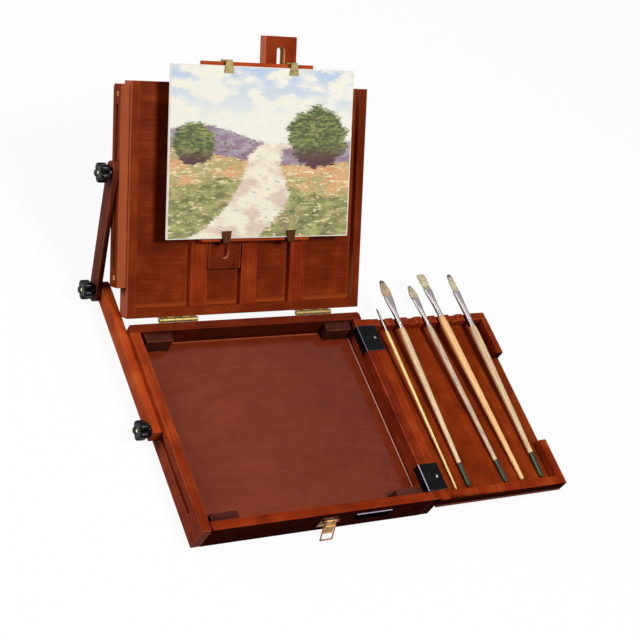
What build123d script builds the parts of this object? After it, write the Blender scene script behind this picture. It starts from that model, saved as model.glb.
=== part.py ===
from build123d import *
import os
from math import atan2, cos, degrees, hypot, radians, sin

# Pochade box, opened for painting. Millimetres, +X right, +Y back, +Z up.
# The origin is the mouth of the tripod socket, in the middle of the tray's underside.
# The lid is drawn closed, flat on the tray, and is then turned open about its hinge pins.

# ---------------------------------------------------------------- fits
RUNNING_FIT = 0.05       # radial clearance of a pin or bolt in its hole
SEAT_GAP = 0.3           # gap between two bodies where one slides or rests on the other
BOLT_SLOT_FIT = 0.3      # gap beside a bolt in a slot, and around its head in a groove
PANEL_FIT = 0.15         # clearance of a panel in its grooves

# ---------------------------------------------------------------- tray
TRAY_WIDTH = 326.0
TRAY_DEPTH = 275.0
TRAY_HEIGHT = 36.5
SIDE_WALL = 12.0
END_WALL = 11.0
BACK_CORNER_CHAMFER = 2.5
PANEL_RECESS = 2.0       # underside of the bottom panel above the walls' feet
PANEL_THICKNESS = 6.0
GROOVE_DEPTH = 5.0
PALETTE_THICKNESS = 5.7
PALETTE_GAP = 1.9        # around the loose palette
NOTCH_GAP = 1.0          # between a palette notch and its corner block
NOTCH_CORNER = 3.0       # radius in the notch's inner corner
BLOCK_LENGTH = 35.5
BLOCK_WIDTH = 12.0
BLOCK_DROP = 4.0         # top of a corner block below the rim
BLOCK_SETBACK = 6.8      # corner block from the side wall
BLOCK_EDGE = 1.2
JOINT_GAP_FRONT = 3.4    # open front-left joint, tapering inwards
JOINT_GAP_BACK = 0.8
JOINT_GAP_DEPTH = 9.0

# ---------------------------------------------------------------- tripod insert
SOCKET_BORE = 3.175      # radius, quarter inch thread
SOCKET_BOSS = 6.5
SOCKET_FLANGE = 12.0

# ---------------------------------------------------------------- hinges
HINGE_OFFSET = 95.5      # hinge centre from the middle
HINGE_LENGTH = 51.0
HINGE_LEAF = 19.0        # from the pin to the leaf's edge
LEAF_THICKNESS = 1.3
KNUCKLE_COUNT = 5
KNUCKLE_RADIUS = 3.0
KNUCKLE_GAP = 0.3
KNUCKLE_STANDOFF = 0.8   # from the knuckle to the wood
HINGE_PIN_RADIUS = 1.5
LEAF_NOTCH_GAP = 0.5     # leaf edge clear of the other leaf's knuckles
LID_OPEN = 136.0         # degrees from closed, as it stands

# ---------------------------------------------------------------- screws
SCREW_SHANK = 1.5        # radius
SCREW_HEAD = 2.7
SCREW_HEAD_HEIGHT = 0.9
SCREW_LENGTH = 9.0       # in the wood
HINGE_SCREWS = 3         # in each leaf
HINGE_SCREW_INSET = 9.0  # outer screws from the leaf's ends
HINGE_SCREW_EDGE = 6.5   # from the leaf's edge

# ---------------------------------------------------------------- lid
LID_THICKNESS = 24.0
STILE_WIDTH = 10.5
RAIL_WIDTH = 11.0
LID_ROUND = 6.0          # outer edges
LID_FLOOR = 7.5          # panel face below the lid's rim
LID_PANEL = 7.0
GUIDE_WIDTH = 21.5       # battens beside the masts
MAST_WIDTH = 45.0
MAST_SIDE_GAP = 1.25

# ---------------------------------------------------------------- side rail, on the lid's left
SIDE_RAIL_THICKNESS = 12.0
SIDE_RAIL_INSET = 4.0    # below the lid's rim
SIDE_RAIL_HEIGHT = 19.5
SIDE_RAIL_START = 36.0   # from the lid's hinge edge
SIDE_RAIL_TOP_GAP = 4.0  # from the lid's free edge
SIDE_RAIL_ROUND = 5.0
RAIL_SLOT_FOOT = 20.0    # slot's lower end from the rail's lower end
RAIL_SLOT_HEAD = 23.0    # slot's upper end from the rail's upper end
RAIL_SCREW_INSET = 11.2
RAIL_SCREW_SHANK = 2.0
RAIL_SCREW_HEAD = 4.0
RAIL_SCREW_DEPTH = 8.0   # in the stile
RAIL_SCREW_SINK = 1.6    # its head in the rail

# ---------------------------------------------------------------- stay: arm, brace, bolts, knobs
BOLT_RADIUS = 3.0
BOLT_HEAD_WIDTH = 13.0
BOLT_HEAD_HEIGHT = 3.4
BOLT_TIP_SINK = 1.5      # bolt's end below its knob's face
TRAY_SLOT_INSET = 30.5   # slot's front end from the tray's front face
TRAY_SLOT_SPARE = 20.0   # slot behind the lower bolt
ARM_WIDTH = 18.0
ARM_THICKNESS = 12.0
ARM_AXIS_Z = 21.0
ARM_REACH = 197.0        # lower bolt to middle bolt
ARM_HEEL = 9.5           # ahead of the lower bolt
LOWER_BOLT_INSET = 133.5 # lower bolt from the tray's back face
BRACE_WIDTH = 19.0
BRACE_THICKNESS = 7.0
BRACE_OVERHANG = 5.0     # centre of a round end beyond its bolt
BRACE_TOP_S = 169.0      # upper bolt, from the lid's hinge edge
BRACE_TOP_DEPTH = 14.0   # upper bolt, below the lid's rim
MIDDLE_HEAD = 5.5        # round bolt head let into the arm's inner face
MIDDLE_HEAD_HEIGHT = 3.0
KNOB_LOBES = 5
KNOB_RADIUS = 12.0
KNOB_LOBE = 4.4
KNOB_HEIGHT = 12.0
KNOB_EDGE = 1.4
KNOB_COLLAR = 7.0
KNOB_COLLAR_HEIGHT = 3.0
MAST_KNOB_HEIGHT = 8.5   # the flatter knobs behind the panel
MAST_KNOB_COLLAR = 0.7

# ---------------------------------------------------------------- masts, bars, clips, board
MAST_RECESS = 0.3        # mast face below the lid's rim
MAST_SLOT = 11.2
MAST_SLOT_MARGIN = 12.0  # slot end from the mast's end
MAST_EDGE = 0.8
UPPER_MAST_LENGTH = 214.0
LOWER_MAST_LENGTH = 194.5
MAST_HEAD_GAP = 7.0      # from the lid's free edge to the thick head
MAST_HEAD_LENGTH = 52.0
MAST_HEAD_THICKNESS = 12.0
MAST_FOOT = 33.9         # lower mast below its bar
UPPER_CLAMP_RISE = 80.0  # clamp bolt from the upper mast's lower end
LOWER_CLAMP_RISE = 94.5  # clamp bolt from the lower mast's lower end
CLAMP_HEAD = 8.0         # radius of the washer head on a mast
CLAMP_HEAD_HEIGHT = 2.6
BAR_LENGTH = 150.0
BAR_HEIGHT = 12.0
BAR_DEPTH = 11.5
UPPER_BAR_RISE = 19.0    # top of the bar from the foot of the mast's head
UPPER_BAR_CENTRE = -1.3
LOWER_BAR_CENTRE = 2.2
BOARD_WIDTH = 254.0
BOARD_HEIGHT = 203.2
BOARD_THICKNESS = 3.0
BOARD_TOP_STEP = 4.5     # board's top edge below the upper bar's
BOARD_FOOT_STEP = 3.9    # board's lower edge above the lower bar's
BOARD_CENTRE = 4.8
CLIP_OFFSETS = (-44.5, 45.5)   # from the middle of the bar
CLIP_SHEET = 1.0
CLIP_GRIP = 13.0         # plate over the board's edge
CLIP_NARROW = 8.6
CLIP_WIDE = 13.0
CLIP_TAIL = 11.0         # strap along the bar's edge
CLIP_CURL = 1.2

# ---------------------------------------------------------------- latch and front plate
LATCH_X = 7.0
LATCH_WIDTH = 21.0
LATCH_SHEET = 1.0
LATCH_BOTTOM = 9.0
LATCH_SCREW_RISE = 5.0   # screws above the plate's lower edge
LATCH_AXIS_Z = 27.5
LATCH_KNUCKLE = 2.2
LATCH_STANDOFF = 0.8
LATCH_EAR = 3.4
LATCH_PIN = 0.9
LEVER_LENGTH = 17.0
LEVER_TILT = 14.0        # degrees out from the wall
LEVER_PIVOT = 7.0        # loop's pivot along the lever
LOOP_TILT = 26.0
LOOP_LENGTH = 19.0
LOOP_WIRE = 0.9
CATCH_WIDTH = 9.0
CATCH_START = 3.0        # below the lid's rim
CATCH_END = 15.0
CATCH_LIP = 2.6
PLATE_LEFT = 45.6
PLATE_LENGTH = 50.6
PLATE_TOP = 27.2
PLATE_HEIGHT = 13.0
PLATE_THICKNESS = 1.0
PLATE_BEVEL = 0.7

# ---------------------------------------------------------------- brush tray
BRUSH_TRAY_WIDTH = 197.7
BRUSH_TRAY_OVERHANG = 2.0     # ahead of the tray's front face
BRUSH_TRAY_SHORTFALL = 12.0   # its back end ahead of the tray's back face
BRUSH_TRAY_HEIGHT = 18.5
BRUSH_BASE = 5.2
LEFT_RIM = 12.5
BACK_RIM = 10.5
FRONT_RIM = 11.1
BACK_STUB_WIDTH = 9.0
BACK_STUB_LENGTH = 55.0
FRONT_STUB_WIDTH = 10.5
FRONT_STUB_LENGTH = 53.4
NOTCH_COUNT = 7
NOTCH_PITCH = 22.8
NOTCH_RADIUS = 8.0
NOTCH_DEPTH = 3.2
HOOK_SHEET = 1.0
HOOK_FLANGE = 12.5
HOOK_REACH = 14.4        # over the brush tray's rim
REAR_HOOK_INSET = 10.3   # from the brush tray's back end
REAR_HOOK_LENGTH = 37.6
FRONT_HOOK_INSET = 13.7  # from the brush tray's front end
FRONT_HOOK_LENGTH = 36.8
HOOK_BEND = 0.9          # outside radius, under the sheet's thickness

# ---------------------------------------------------------------- brushes
STRAND_WIDTH = 0.42
STRAND_PITCH = 0.54
STRAND_BACKING = 0.8     # slice that carries the strands
STRAND_SPREAD = 0.93     # share of the mouth that has strands
STRAND_CROWN = 0.08      # how much shorter they are at the flat sides
STRAND_RAGGED = 0.035    # step between uneven tips, as a share of their length
HANDLE_TENON = 12.0      # handle inside the ferrule
FERRULE_WALL = 0.35
HANDLE_SWELL = ((0.3, 0.32), (0.6, 0.68), (0.75, 0.88), (0.87, 1.0))
HANDLE_SHOULDER = ((0.95, 0.94), (0.985, 0.6))

# A handle's outline is given by places along it: first each with its share of the swell from
# the end's radius to the belly's, then with the share of it that is left above the neck's.

# Lengths of each brush: offset in its notch, place of its end (x from the brush tray's left
# side, y from its front rim), handle, radii of end, belly, neck and where it lies in the notch,
# ferrule, mouth width and thickness, bristles.
LINER_SIZES = (-0.8, 36.4, 5.8, 229.0, 1.4, 2.25, 1.7, 1.8, 27.1, 2.6, 2.6, 7.8)
FILBERT_SIZES = (0.3, 56.3, 6.9, 229.8, 2.25, 4.45, 3.4, 3.5, 47.8, 13.0, 3.9, 26.8)
SMALL_FILBERT_SIZES = (-1.2, 114.9, 5.7, 233.2, 2.3, 3.8, 3.0, 3.1, 40.3, 11.0, 3.3, 22.7)
FLAT_SIZES = (1.1, 141.0, 6.2, 244.5, 2.75, 5.2, 3.6, 4.9, 42.4, 12.6, 3.9, 25.0)
BRIGHT_SIZES = (-0.2, 173.1, 5.7, 226.6, 2.7, 5.1, 3.9, 4.0, 55.7, 10.7, 4.6, 27.7)

# Each brush: the notch that it lies in, how far its tips round off, the lean of its outermost
# bristles in degrees, and its lengths.
BRUSHES = {
    "liner_brush": (0, 0.5, 0.0, LINER_SIZES),
    "filbert_brush": (1, 0.45, 5.0, FILBERT_SIZES),
    "small_filbert_brush": (3, 0.5, 7.0, SMALL_FILBERT_SIZES),
    "flat_brush": (4, 0.12, 3.5, FLAT_SIZES),
    "bright_brush": (6, 0.3, 0.5, BRIGHT_SIZES),
}

# ---------------------------------------------------------------- worked out from the sizes above
HALF_WIDTH = TRAY_WIDTH / 2
HALF_DEPTH = TRAY_DEPTH / 2
INNER_X = HALF_WIDTH - SIDE_WALL
INNER_Y = HALF_DEPTH - END_WALL
PANEL_TOP = PANEL_RECESS + PANEL_THICKNESS
LEAF_FACE = HALF_DEPTH + LEAF_THICKNESS
PIN_Y = HALF_DEPTH + KNUCKLE_STANDOFF + KNUCKLE_RADIUS
LID_AXIS = Axis((0, PIN_Y, TRAY_HEIGHT), (1, 0, 0))
LID_INNER_X = HALF_WIDTH - STILE_WIDTH
PANEL_BACK = LID_FLOOR + LID_PANEL
CHANNEL_WIDTH = MAST_WIDTH + 2 * MAST_SIDE_GAP
MAST_X = (GUIDE_WIDTH + CHANNEL_WIDTH) / 2
SLOT_WIDTH = 2 * (BOLT_RADIUS + BOLT_SLOT_FIT)
HEAD_GROOVE_WIDTH = BOLT_HEAD_WIDTH + 2 * BOLT_SLOT_FIT
HEAD_GROOVE_DEPTH = BOLT_HEAD_HEIGHT + 2 * BOLT_SLOT_FIT
ARM_INNER = -(HALF_WIDTH + SEAT_GAP)
ARM_OUTER = ARM_INNER - ARM_THICKNESS
BRACE_INNER = ARM_OUTER - SEAT_GAP
BRACE_OUTER = BRACE_INNER - BRACE_THICKNESS
RAIL_OUTER = -(HALF_WIDTH + SIDE_RAIL_THICKNESS)
SIDE_RAIL_END = TRAY_DEPTH - SIDE_RAIL_TOP_GAP
RAIL_SLOT_START = SIDE_RAIL_START + RAIL_SLOT_FOOT
RAIL_SLOT_END = SIDE_RAIL_END - RAIL_SLOT_HEAD
LOWER_BOLT_Y = HALF_DEPTH - LOWER_BOLT_INSET
MIDDLE_BOLT_Y = LOWER_BOLT_Y + ARM_REACH
TRAY_SLOT_FRONT = TRAY_SLOT_INSET - HALF_DEPTH
TRAY_SLOT_BACK = LOWER_BOLT_Y + TRAY_SLOT_SPARE
KNOB_TOTAL = KNOB_COLLAR_HEIGHT + KNOB_HEIGHT
MAST_HEAD_BOTTOM = TRAY_DEPTH + MAST_HEAD_GAP
UPPER_MAST_TOP = MAST_HEAD_BOTTOM + MAST_HEAD_LENGTH
UPPER_MAST_BOTTOM = UPPER_MAST_TOP - UPPER_MAST_LENGTH
UPPER_BAR_TOP = MAST_HEAD_BOTTOM + UPPER_BAR_RISE
BOARD_BOTTOM = UPPER_BAR_TOP - BOARD_TOP_STEP - BOARD_HEIGHT
LOWER_BAR_BOTTOM = BOARD_BOTTOM - BOARD_FOOT_STEP
LOWER_MAST_BOTTOM = LOWER_BAR_BOTTOM - MAST_FOOT
LOWER_MAST_TOP = LOWER_MAST_BOTTOM + LOWER_MAST_LENGTH
UPPER_CLAMP_S = UPPER_MAST_BOTTOM + UPPER_CLAMP_RISE
LOWER_CLAMP_S = LOWER_MAST_BOTTOM + LOWER_CLAMP_RISE
BAR_BACK = -SEAT_GAP                     # depths below the rim, so outside it they are negative
BAR_FRONT = BAR_BACK - BAR_DEPTH
BOARD_BACK = BAR_FRONT - SEAT_GAP
BOARD_FRONT = BOARD_BACK - BOARD_THICKNESS
CLIP_BACK = BOARD_FRONT - SEAT_GAP
CLIP_FRONT = CLIP_BACK - CLIP_SHEET
BRUSH_X0 = HALF_WIDTH + SEAT_GAP
BRUSH_X1 = BRUSH_X0 + BRUSH_TRAY_WIDTH
BRUSH_Y0 = -HALF_DEPTH - BRUSH_TRAY_OVERHANG
BRUSH_Y1 = HALF_DEPTH - BRUSH_TRAY_SHORTFALL
BRUSH_TOP = TRAY_HEIGHT + SEAT_GAP
BRUSH_FOOT = BRUSH_TOP - BRUSH_TRAY_HEIGHT
BRUSH_FLOOR = BRUSH_FOOT + BRUSH_BASE
NOTCH_FIRST = (BRUSH_TRAY_WIDTH - (NOTCH_COUNT - 1) * NOTCH_PITCH) / 2
REAR_HOOK_Y = (BRUSH_Y1 - REAR_HOOK_INSET - REAR_HOOK_LENGTH, BRUSH_Y1 - REAR_HOOK_INSET)
FRONT_HOOK_Y = (BRUSH_Y0 + FRONT_HOOK_INSET, BRUSH_Y0 + FRONT_HOOK_INSET + FRONT_HOOK_LENGTH)
LATCH_AXIS_Y = -HALF_DEPTH - LATCH_SHEET - LATCH_STANDOFF - LATCH_KNUCKLE
LATCH_AXIS = Axis((0, LATCH_AXIS_Y, LATCH_AXIS_Z), (1, 0, 0))
LATCH_LEFT = LATCH_X - LATCH_WIDTH / 2
LATCH_RIGHT = LATCH_X + LATCH_WIDTH / 2

PIECES = {}


# ---------------------------------------------------------------- helpers
def block(x, y, z):
    """Box between limits, each given as (low, high)."""
    limits = (x, y, z)
    middle = [(low + high) / 2 for low, high in limits]
    size = [high - low for low, high in limits]
    return Pos(*middle) * Box(*size)


def mirrored(near, far):
    """Both pairs of limits along one axis, on the minus and the plus side."""
    return ((-far, -near), (near, far))


def lid_block(x, s, depth):
    """Box in the closed lid: x, distance s from its hinge edge, depth below its rim face."""
    y = (HALF_DEPTH - s[1], HALF_DEPTH - s[0])
    z = (TRAY_HEIGHT + depth[0], TRAY_HEIGHT + depth[1])
    return block(x, y, z)


def rod(radius, x, y, z):
    """Cylinder along X between two limits."""
    return Pos((x[0] + x[1]) / 2, y, z) * Rot(0, 90, 0) * Cylinder(radius, x[1] - x[0])


def post(radius, x, y, z):
    """Cylinder along Z between two limits."""
    return Pos(x, y, (z[0] + z[1]) / 2) * Cylinder(radius, z[1] - z[0])


def side_slot(width, y, z, x):
    """Round-ended slot along Y, cut through in X."""
    outline = Plane.YZ.offset(x[0]) * Pos((y[0] + y[1]) / 2, z) * SlotOverall(y[1] - y[0], width)
    return extrude(outline, x[1] - x[0])


def opened(shape):
    """The closed lid's piece, turned to where the open lid stands."""
    return shape.rotate(LID_AXIS, -LID_OPEN)


def group(pieces):
    """Several separate solids in one named piece."""
    solids = [solid for piece in pieces for solid in piece.solids()]
    return Compound(solids)


def on_lid(s, depth):
    """Y and Z of a point of the open lid, on its side view."""
    turn = radians(LID_OPEN)
    reach = s + PIN_Y - HALF_DEPTH
    y = PIN_Y - reach * cos(turn) + depth * sin(turn)
    z = TRAY_HEIGHT + reach * sin(turn) + depth * cos(turn)
    return y, z


# ---------------------------------------------------------------- tray
def tray_walls():
    groove = block(
        (-INNER_X - GROOVE_DEPTH, INNER_X + GROOVE_DEPTH),
        (-INNER_Y - GROOVE_DEPTH, INNER_Y + GROOVE_DEPTH),
        (PANEL_RECESS - PANEL_FIT, PANEL_TOP + PANEL_FIT),
    )
    height = (0, TRAY_HEIGHT)
    back = block((-HALF_WIDTH, HALF_WIDTH), (INNER_Y, HALF_DEPTH), height)
    corners = back.edges().filter_by(Axis.Z).group_by(Axis.Y)[-1]
    back = chamfer(corners, BACK_CORNER_CHAMFER) - groove
    front = block((-INNER_X, INNER_X), (-HALF_DEPTH, -INNER_Y), height) - groove
    joint_gap = Polygon(
        (-INNER_X, -HALF_DEPTH),
        (-INNER_X + JOINT_GAP_FRONT, -HALF_DEPTH),
        (-INNER_X + JOINT_GAP_BACK, -INNER_Y),
        (-INNER_X, -INNER_Y),
        align=None,
    )
    front -= extrude(Pos(0, 0, TRAY_HEIGHT - JOINT_GAP_DEPTH) * joint_gap, JOINT_GAP_DEPTH)
    left_x, right_x = mirrored(INNER_X, HALF_WIDTH)
    right = block(right_x, (-HALF_DEPTH, INNER_Y), height) - groove
    left = block(left_x, (-HALF_DEPTH, INNER_Y), height) - groove
    slot_y = (TRAY_SLOT_FRONT, TRAY_SLOT_BACK)
    left -= side_slot(SLOT_WIDTH, slot_y, ARM_AXIS_Z, left_x)
    spread = (HEAD_GROOVE_WIDTH - SLOT_WIDTH) / 2
    left -= block(
        (-INNER_X - HEAD_GROOVE_DEPTH, -INNER_X),
        (TRAY_SLOT_FRONT - spread, TRAY_SLOT_BACK + spread),
        (ARM_AXIS_Z - HEAD_GROOVE_WIDTH / 2, ARM_AXIS_Z + HEAD_GROOVE_WIDTH / 2),
    )
    PIECES["tray_left_wall"] = left
    PIECES["tray_right_wall"] = right
    PIECES["tray_front_wall"] = front - latch_screw_holes()
    PIECES["tray_back_wall"] = back - hinge_screw_holes(-1)


def tray_floor():
    edge = GROOVE_DEPTH - PANEL_FIT
    panel = block(
        (-INNER_X - edge, INNER_X + edge),
        (-INNER_Y - edge, INNER_Y + edge),
        (PANEL_RECESS, PANEL_TOP),
    )
    PIECES["tray_bottom_panel"] = panel - post(SOCKET_BOSS + RUNNING_FIT, 0, 0, (0, PANEL_TOP))
    insert = post(SOCKET_FLANGE, 0, 0, (0, PANEL_RECESS)) + post(SOCKET_BOSS, 0, 0, (0, PANEL_TOP))
    PIECES["tripod_insert"] = insert - post(SOCKET_BORE, 0, 0, (0, PANEL_TOP))

    block_x = mirrored(INNER_X - BLOCK_SETBACK - BLOCK_LENGTH, INNER_X - BLOCK_SETBACK)
    block_y = mirrored(INNER_Y - BLOCK_WIDTH, INNER_Y)
    blocks = []
    sheet_x = INNER_X - PALETTE_GAP
    sheet_y = INNER_Y - PALETTE_GAP
    sheet_z = (PANEL_TOP + SEAT_GAP, PANEL_TOP + SEAT_GAP + PALETTE_THICKNESS)
    palette = block((-sheet_x, sheet_x), (-sheet_y, sheet_y), sheet_z)
    notch_x = mirrored(INNER_X - BLOCK_SETBACK - BLOCK_LENGTH - NOTCH_GAP, INNER_X)
    notch_y = mirrored(INNER_Y - BLOCK_WIDTH - NOTCH_GAP, INNER_Y)
    for side in (0, 1):
        for end in (0, 1):
            corner = block(block_x[side], block_y[end], (PANEL_TOP, TRAY_HEIGHT - BLOCK_DROP))
            blocks.append(fillet(corner.edges().filter_by(Axis.Z), BLOCK_EDGE))
            notch = block(notch_x[side], notch_y[end], sheet_z)
            upright = notch.edges().filter_by(Axis.Z)
            inner = upright.sort_by(lambda edge: hypot(edge.center().X, edge.center().Y))[0]
            palette -= fillet(inner, NOTCH_CORNER)
    PIECES["corner_blocks"] = group(blocks)
    PIECES["palette"] = palette


# ---------------------------------------------------------------- hinges
def hinge_screw_places():
    """X of each hinge screw, for both hinges."""
    places = []
    for side in (-1, 1):
        start = side * HINGE_OFFSET - HINGE_LENGTH / 2 + HINGE_SCREW_INSET
        step = (HINGE_LENGTH - 2 * HINGE_SCREW_INSET) / (HINGE_SCREWS - 1)
        places += [start + step * number for number in range(HINGE_SCREWS)]
    return places


def hinge_screw_z(direction):
    """Height of a leaf's screws: below the pin in the tray (-1), above it in the closed lid (1)."""
    return TRAY_HEIGHT + direction * (HINGE_LEAF - HINGE_SCREW_EDGE)


def hinge_screw_rods(radius, y, direction):
    rods = []
    for x in hinge_screw_places():
        centre = Pos(x, (y[0] + y[1]) / 2, hinge_screw_z(direction))
        rods.append(centre * Rot(90, 0, 0) * Cylinder(radius, y[1] - y[0]))
    return rods


def hinge_screw_holes(direction):
    y = (HALF_DEPTH - SCREW_LENGTH, LEAF_FACE)
    return hinge_screw_rods(SCREW_SHANK + RUNNING_FIT, y, direction)


def hinge_screws(direction):
    shanks = hinge_screw_rods(SCREW_SHANK, (HALF_DEPTH - SCREW_LENGTH, LEAF_FACE), direction)
    heads = hinge_screw_rods(SCREW_HEAD, (LEAF_FACE, LEAF_FACE + SCREW_HEAD_HEIGHT), direction)
    return [shank + head for shank, head in zip(shanks, heads)]


def hinge_leaves(direction):
    """Leaves and knuckles of both hinges: the tray's (-1) or, drawn closed, the lid's (1)."""
    own_first = 0 if direction < 0 else 1
    knuckle = (HINGE_LENGTH - (KNUCKLE_COUNT - 1) * KNUCKLE_GAP) / KNUCKLE_COUNT
    near = KNUCKLE_RADIUS + LEAF_NOTCH_GAP
    leaves = []
    for side in (-1, 1):
        left = side * HINGE_OFFSET - HINGE_LENGTH / 2
        plate_z = sorted((TRAY_HEIGHT + direction * near, TRAY_HEIGHT + direction * HINGE_LEAF))
        leaf = block((left, left + HINGE_LENGTH), (HALF_DEPTH, LEAF_FACE), plate_z)
        for number in range(own_first, KNUCKLE_COUNT, 2):
            start = left + number * (knuckle + KNUCKLE_GAP)
            x = (start, start + knuckle)
            tab_z = sorted((TRAY_HEIGHT, TRAY_HEIGHT + direction * near))
            leaf += block(x, (HALF_DEPTH, LEAF_FACE), tab_z)
            leaf += rod(KNUCKLE_RADIUS, x, PIN_Y, TRAY_HEIGHT)
        bore = rod(HINGE_PIN_RADIUS + RUNNING_FIT, (left, left + HINGE_LENGTH), PIN_Y, TRAY_HEIGHT)
        leaves.append(leaf - bore)
    return [leaf - hinge_screw_holes(direction) for leaf in leaves]


def hinges():
    pins = []
    for side in (-1, 1):
        left = side * HINGE_OFFSET - HINGE_LENGTH / 2
        pins.append(rod(HINGE_PIN_RADIUS, (left, left + HINGE_LENGTH), PIN_Y, TRAY_HEIGHT))
    PIECES["hinge_pins"] = group(pins)
    PIECES["hinge_tray_leaves"] = group(hinge_leaves(-1))
    PIECES["hinge_lid_leaves"] = group([opened(leaf) for leaf in hinge_leaves(1)])


# ---------------------------------------------------------------- latch and front plate
def latch_screw_rods(radius, y):
    rods = []
    for side in (-1, 1):
        x = LATCH_X + side * LATCH_WIDTH / 4
        centre = Pos(x, (y[0] + y[1]) / 2, LATCH_BOTTOM + LATCH_SCREW_RISE)
        rods.append(centre * Rot(90, 0, 0) * Cylinder(radius, y[1] - y[0]))
    return rods


def latch_screw_holes():
    y = (-HALF_DEPTH - LATCH_SHEET, -HALF_DEPTH + SCREW_LENGTH)
    return latch_screw_rods(SCREW_SHANK + RUNNING_FIT, y)


def latch_screws():
    face = -HALF_DEPTH - LATCH_SHEET
    shanks = latch_screw_rods(SCREW_SHANK, (face, -HALF_DEPTH + SCREW_LENGTH))
    heads = latch_screw_rods(SCREW_HEAD, (face - SCREW_HEAD_HEIGHT, face))
    return [shank + head for shank, head in zip(shanks, heads)]


def latch():
    face = -HALF_DEPTH - LATCH_SHEET
    plate_top = LATCH_AXIS_Z + LATCH_KNUCKLE
    plate = block((LATCH_LEFT, LATCH_RIGHT), (face, -HALF_DEPTH), (LATCH_BOTTOM, plate_top))
    ears = ((LATCH_LEFT, LATCH_LEFT + LATCH_EAR), (LATCH_RIGHT - LATCH_EAR, LATCH_RIGHT))
    for x in ears:
        plate += rod(LATCH_KNUCKLE, x, LATCH_AXIS_Y, LATCH_AXIS_Z)
        web_z = (LATCH_AXIS_Z - LATCH_KNUCKLE / 2, LATCH_AXIS_Z + LATCH_KNUCKLE / 2)
        plate += block(x, (LATCH_AXIS_Y, -HALF_DEPTH), web_z)
    bore = rod(LATCH_PIN + RUNNING_FIT, (LATCH_LEFT, LATCH_RIGHT), LATCH_AXIS_Y, LATCH_AXIS_Z)
    PIECES["latch_plate"] = plate - bore - latch_screw_holes()

    inner = (LATCH_LEFT + LATCH_EAR + SEAT_GAP, LATCH_RIGHT - LATCH_EAR - SEAT_GAP)
    front = LATCH_AXIS_Y - LATCH_KNUCKLE
    tip_z = LATCH_AXIS_Z - LEVER_LENGTH
    lever = rod(LATCH_KNUCKLE, inner, LATCH_AXIS_Y, LATCH_AXIS_Z)
    lever += block(inner, (front, front + LATCH_SHEET), (tip_z, LATCH_AXIS_Z))
    lever += rod(LATCH_KNUCKLE / 2, inner, front - LATCH_KNUCKLE / 2 + LATCH_SHEET, tip_z)
    lever += rod(LATCH_PIN, (LATCH_LEFT, LATCH_RIGHT), LATCH_AXIS_Y, LATCH_AXIS_Z)
    pivot_y = front + LATCH_SHEET / 2
    pivot_z = LATCH_AXIS_Z - LEVER_PIVOT
    socket = LOOP_WIRE + RUNNING_FIT
    lever += rod(socket + LATCH_SHEET, inner, pivot_y, pivot_z)
    lever -= rod(socket, inner, pivot_y, pivot_z)
    PIECES["latch_lever"] = lever.rotate(LATCH_AXIS, -LEVER_TILT)

    swing = radians(LEVER_TILT)
    back_y = pivot_y - LATCH_AXIS_Y
    loop_y = LATCH_AXIS_Y + back_y * cos(swing) - LEVER_PIVOT * sin(swing)
    loop_z = LATCH_AXIS_Z - back_y * sin(swing) - LEVER_PIVOT * cos(swing)
    arm = LOOP_WIRE + SEAT_GAP
    loop_x = (inner[0] - arm, inner[1] + arm)
    loop = rod(LOOP_WIRE, loop_x, loop_y, loop_z)
    loop += rod(LOOP_WIRE, loop_x, loop_y, loop_z - LOOP_LENGTH)
    for x in loop_x:
        loop += post(LOOP_WIRE, x, loop_y, (loop_z - LOOP_LENGTH, loop_z))
        loop += Pos(x, loop_y, loop_z) * Sphere(LOOP_WIRE)
        loop += Pos(x, loop_y, loop_z - LOOP_LENGTH) * Sphere(LOOP_WIRE)
    PIECES["latch_loop"] = loop.rotate(Axis((0, loop_y, loop_z), (1, 0, 0)), -LOOP_TILT)

    catch_x = (LATCH_X - CATCH_WIDTH / 2, LATCH_X + CATCH_WIDTH / 2)
    sheet_s = (TRAY_DEPTH, TRAY_DEPTH + LATCH_SHEET)
    catch = lid_block(catch_x, sheet_s, (CATCH_START, CATCH_END))
    lip_end = TRAY_DEPTH + LATCH_SHEET + CATCH_LIP
    catch += lid_block(catch_x, (TRAY_DEPTH, lip_end), (CATCH_END - LATCH_SHEET, CATCH_END))
    hook_depth = (CATCH_END - LATCH_SHEET, CATCH_END + LATCH_SHEET)
    catch += lid_block(catch_x, (lip_end - LATCH_SHEET, lip_end), hook_depth)
    PIECES["latch_strike"] = opened(catch)

    plate_x = (PLATE_LEFT, PLATE_LEFT + PLATE_LENGTH)
    plate_z = (PLATE_TOP - PLATE_HEIGHT, PLATE_TOP)
    sign = block(plate_x, (-HALF_DEPTH - PLATE_THICKNESS, -HALF_DEPTH), plate_z)
    outer = sign.faces().sort_by(Axis.Y)[0].edges()
    PIECES["front_plate"] = chamfer(outer, PLATE_BEVEL)


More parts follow.
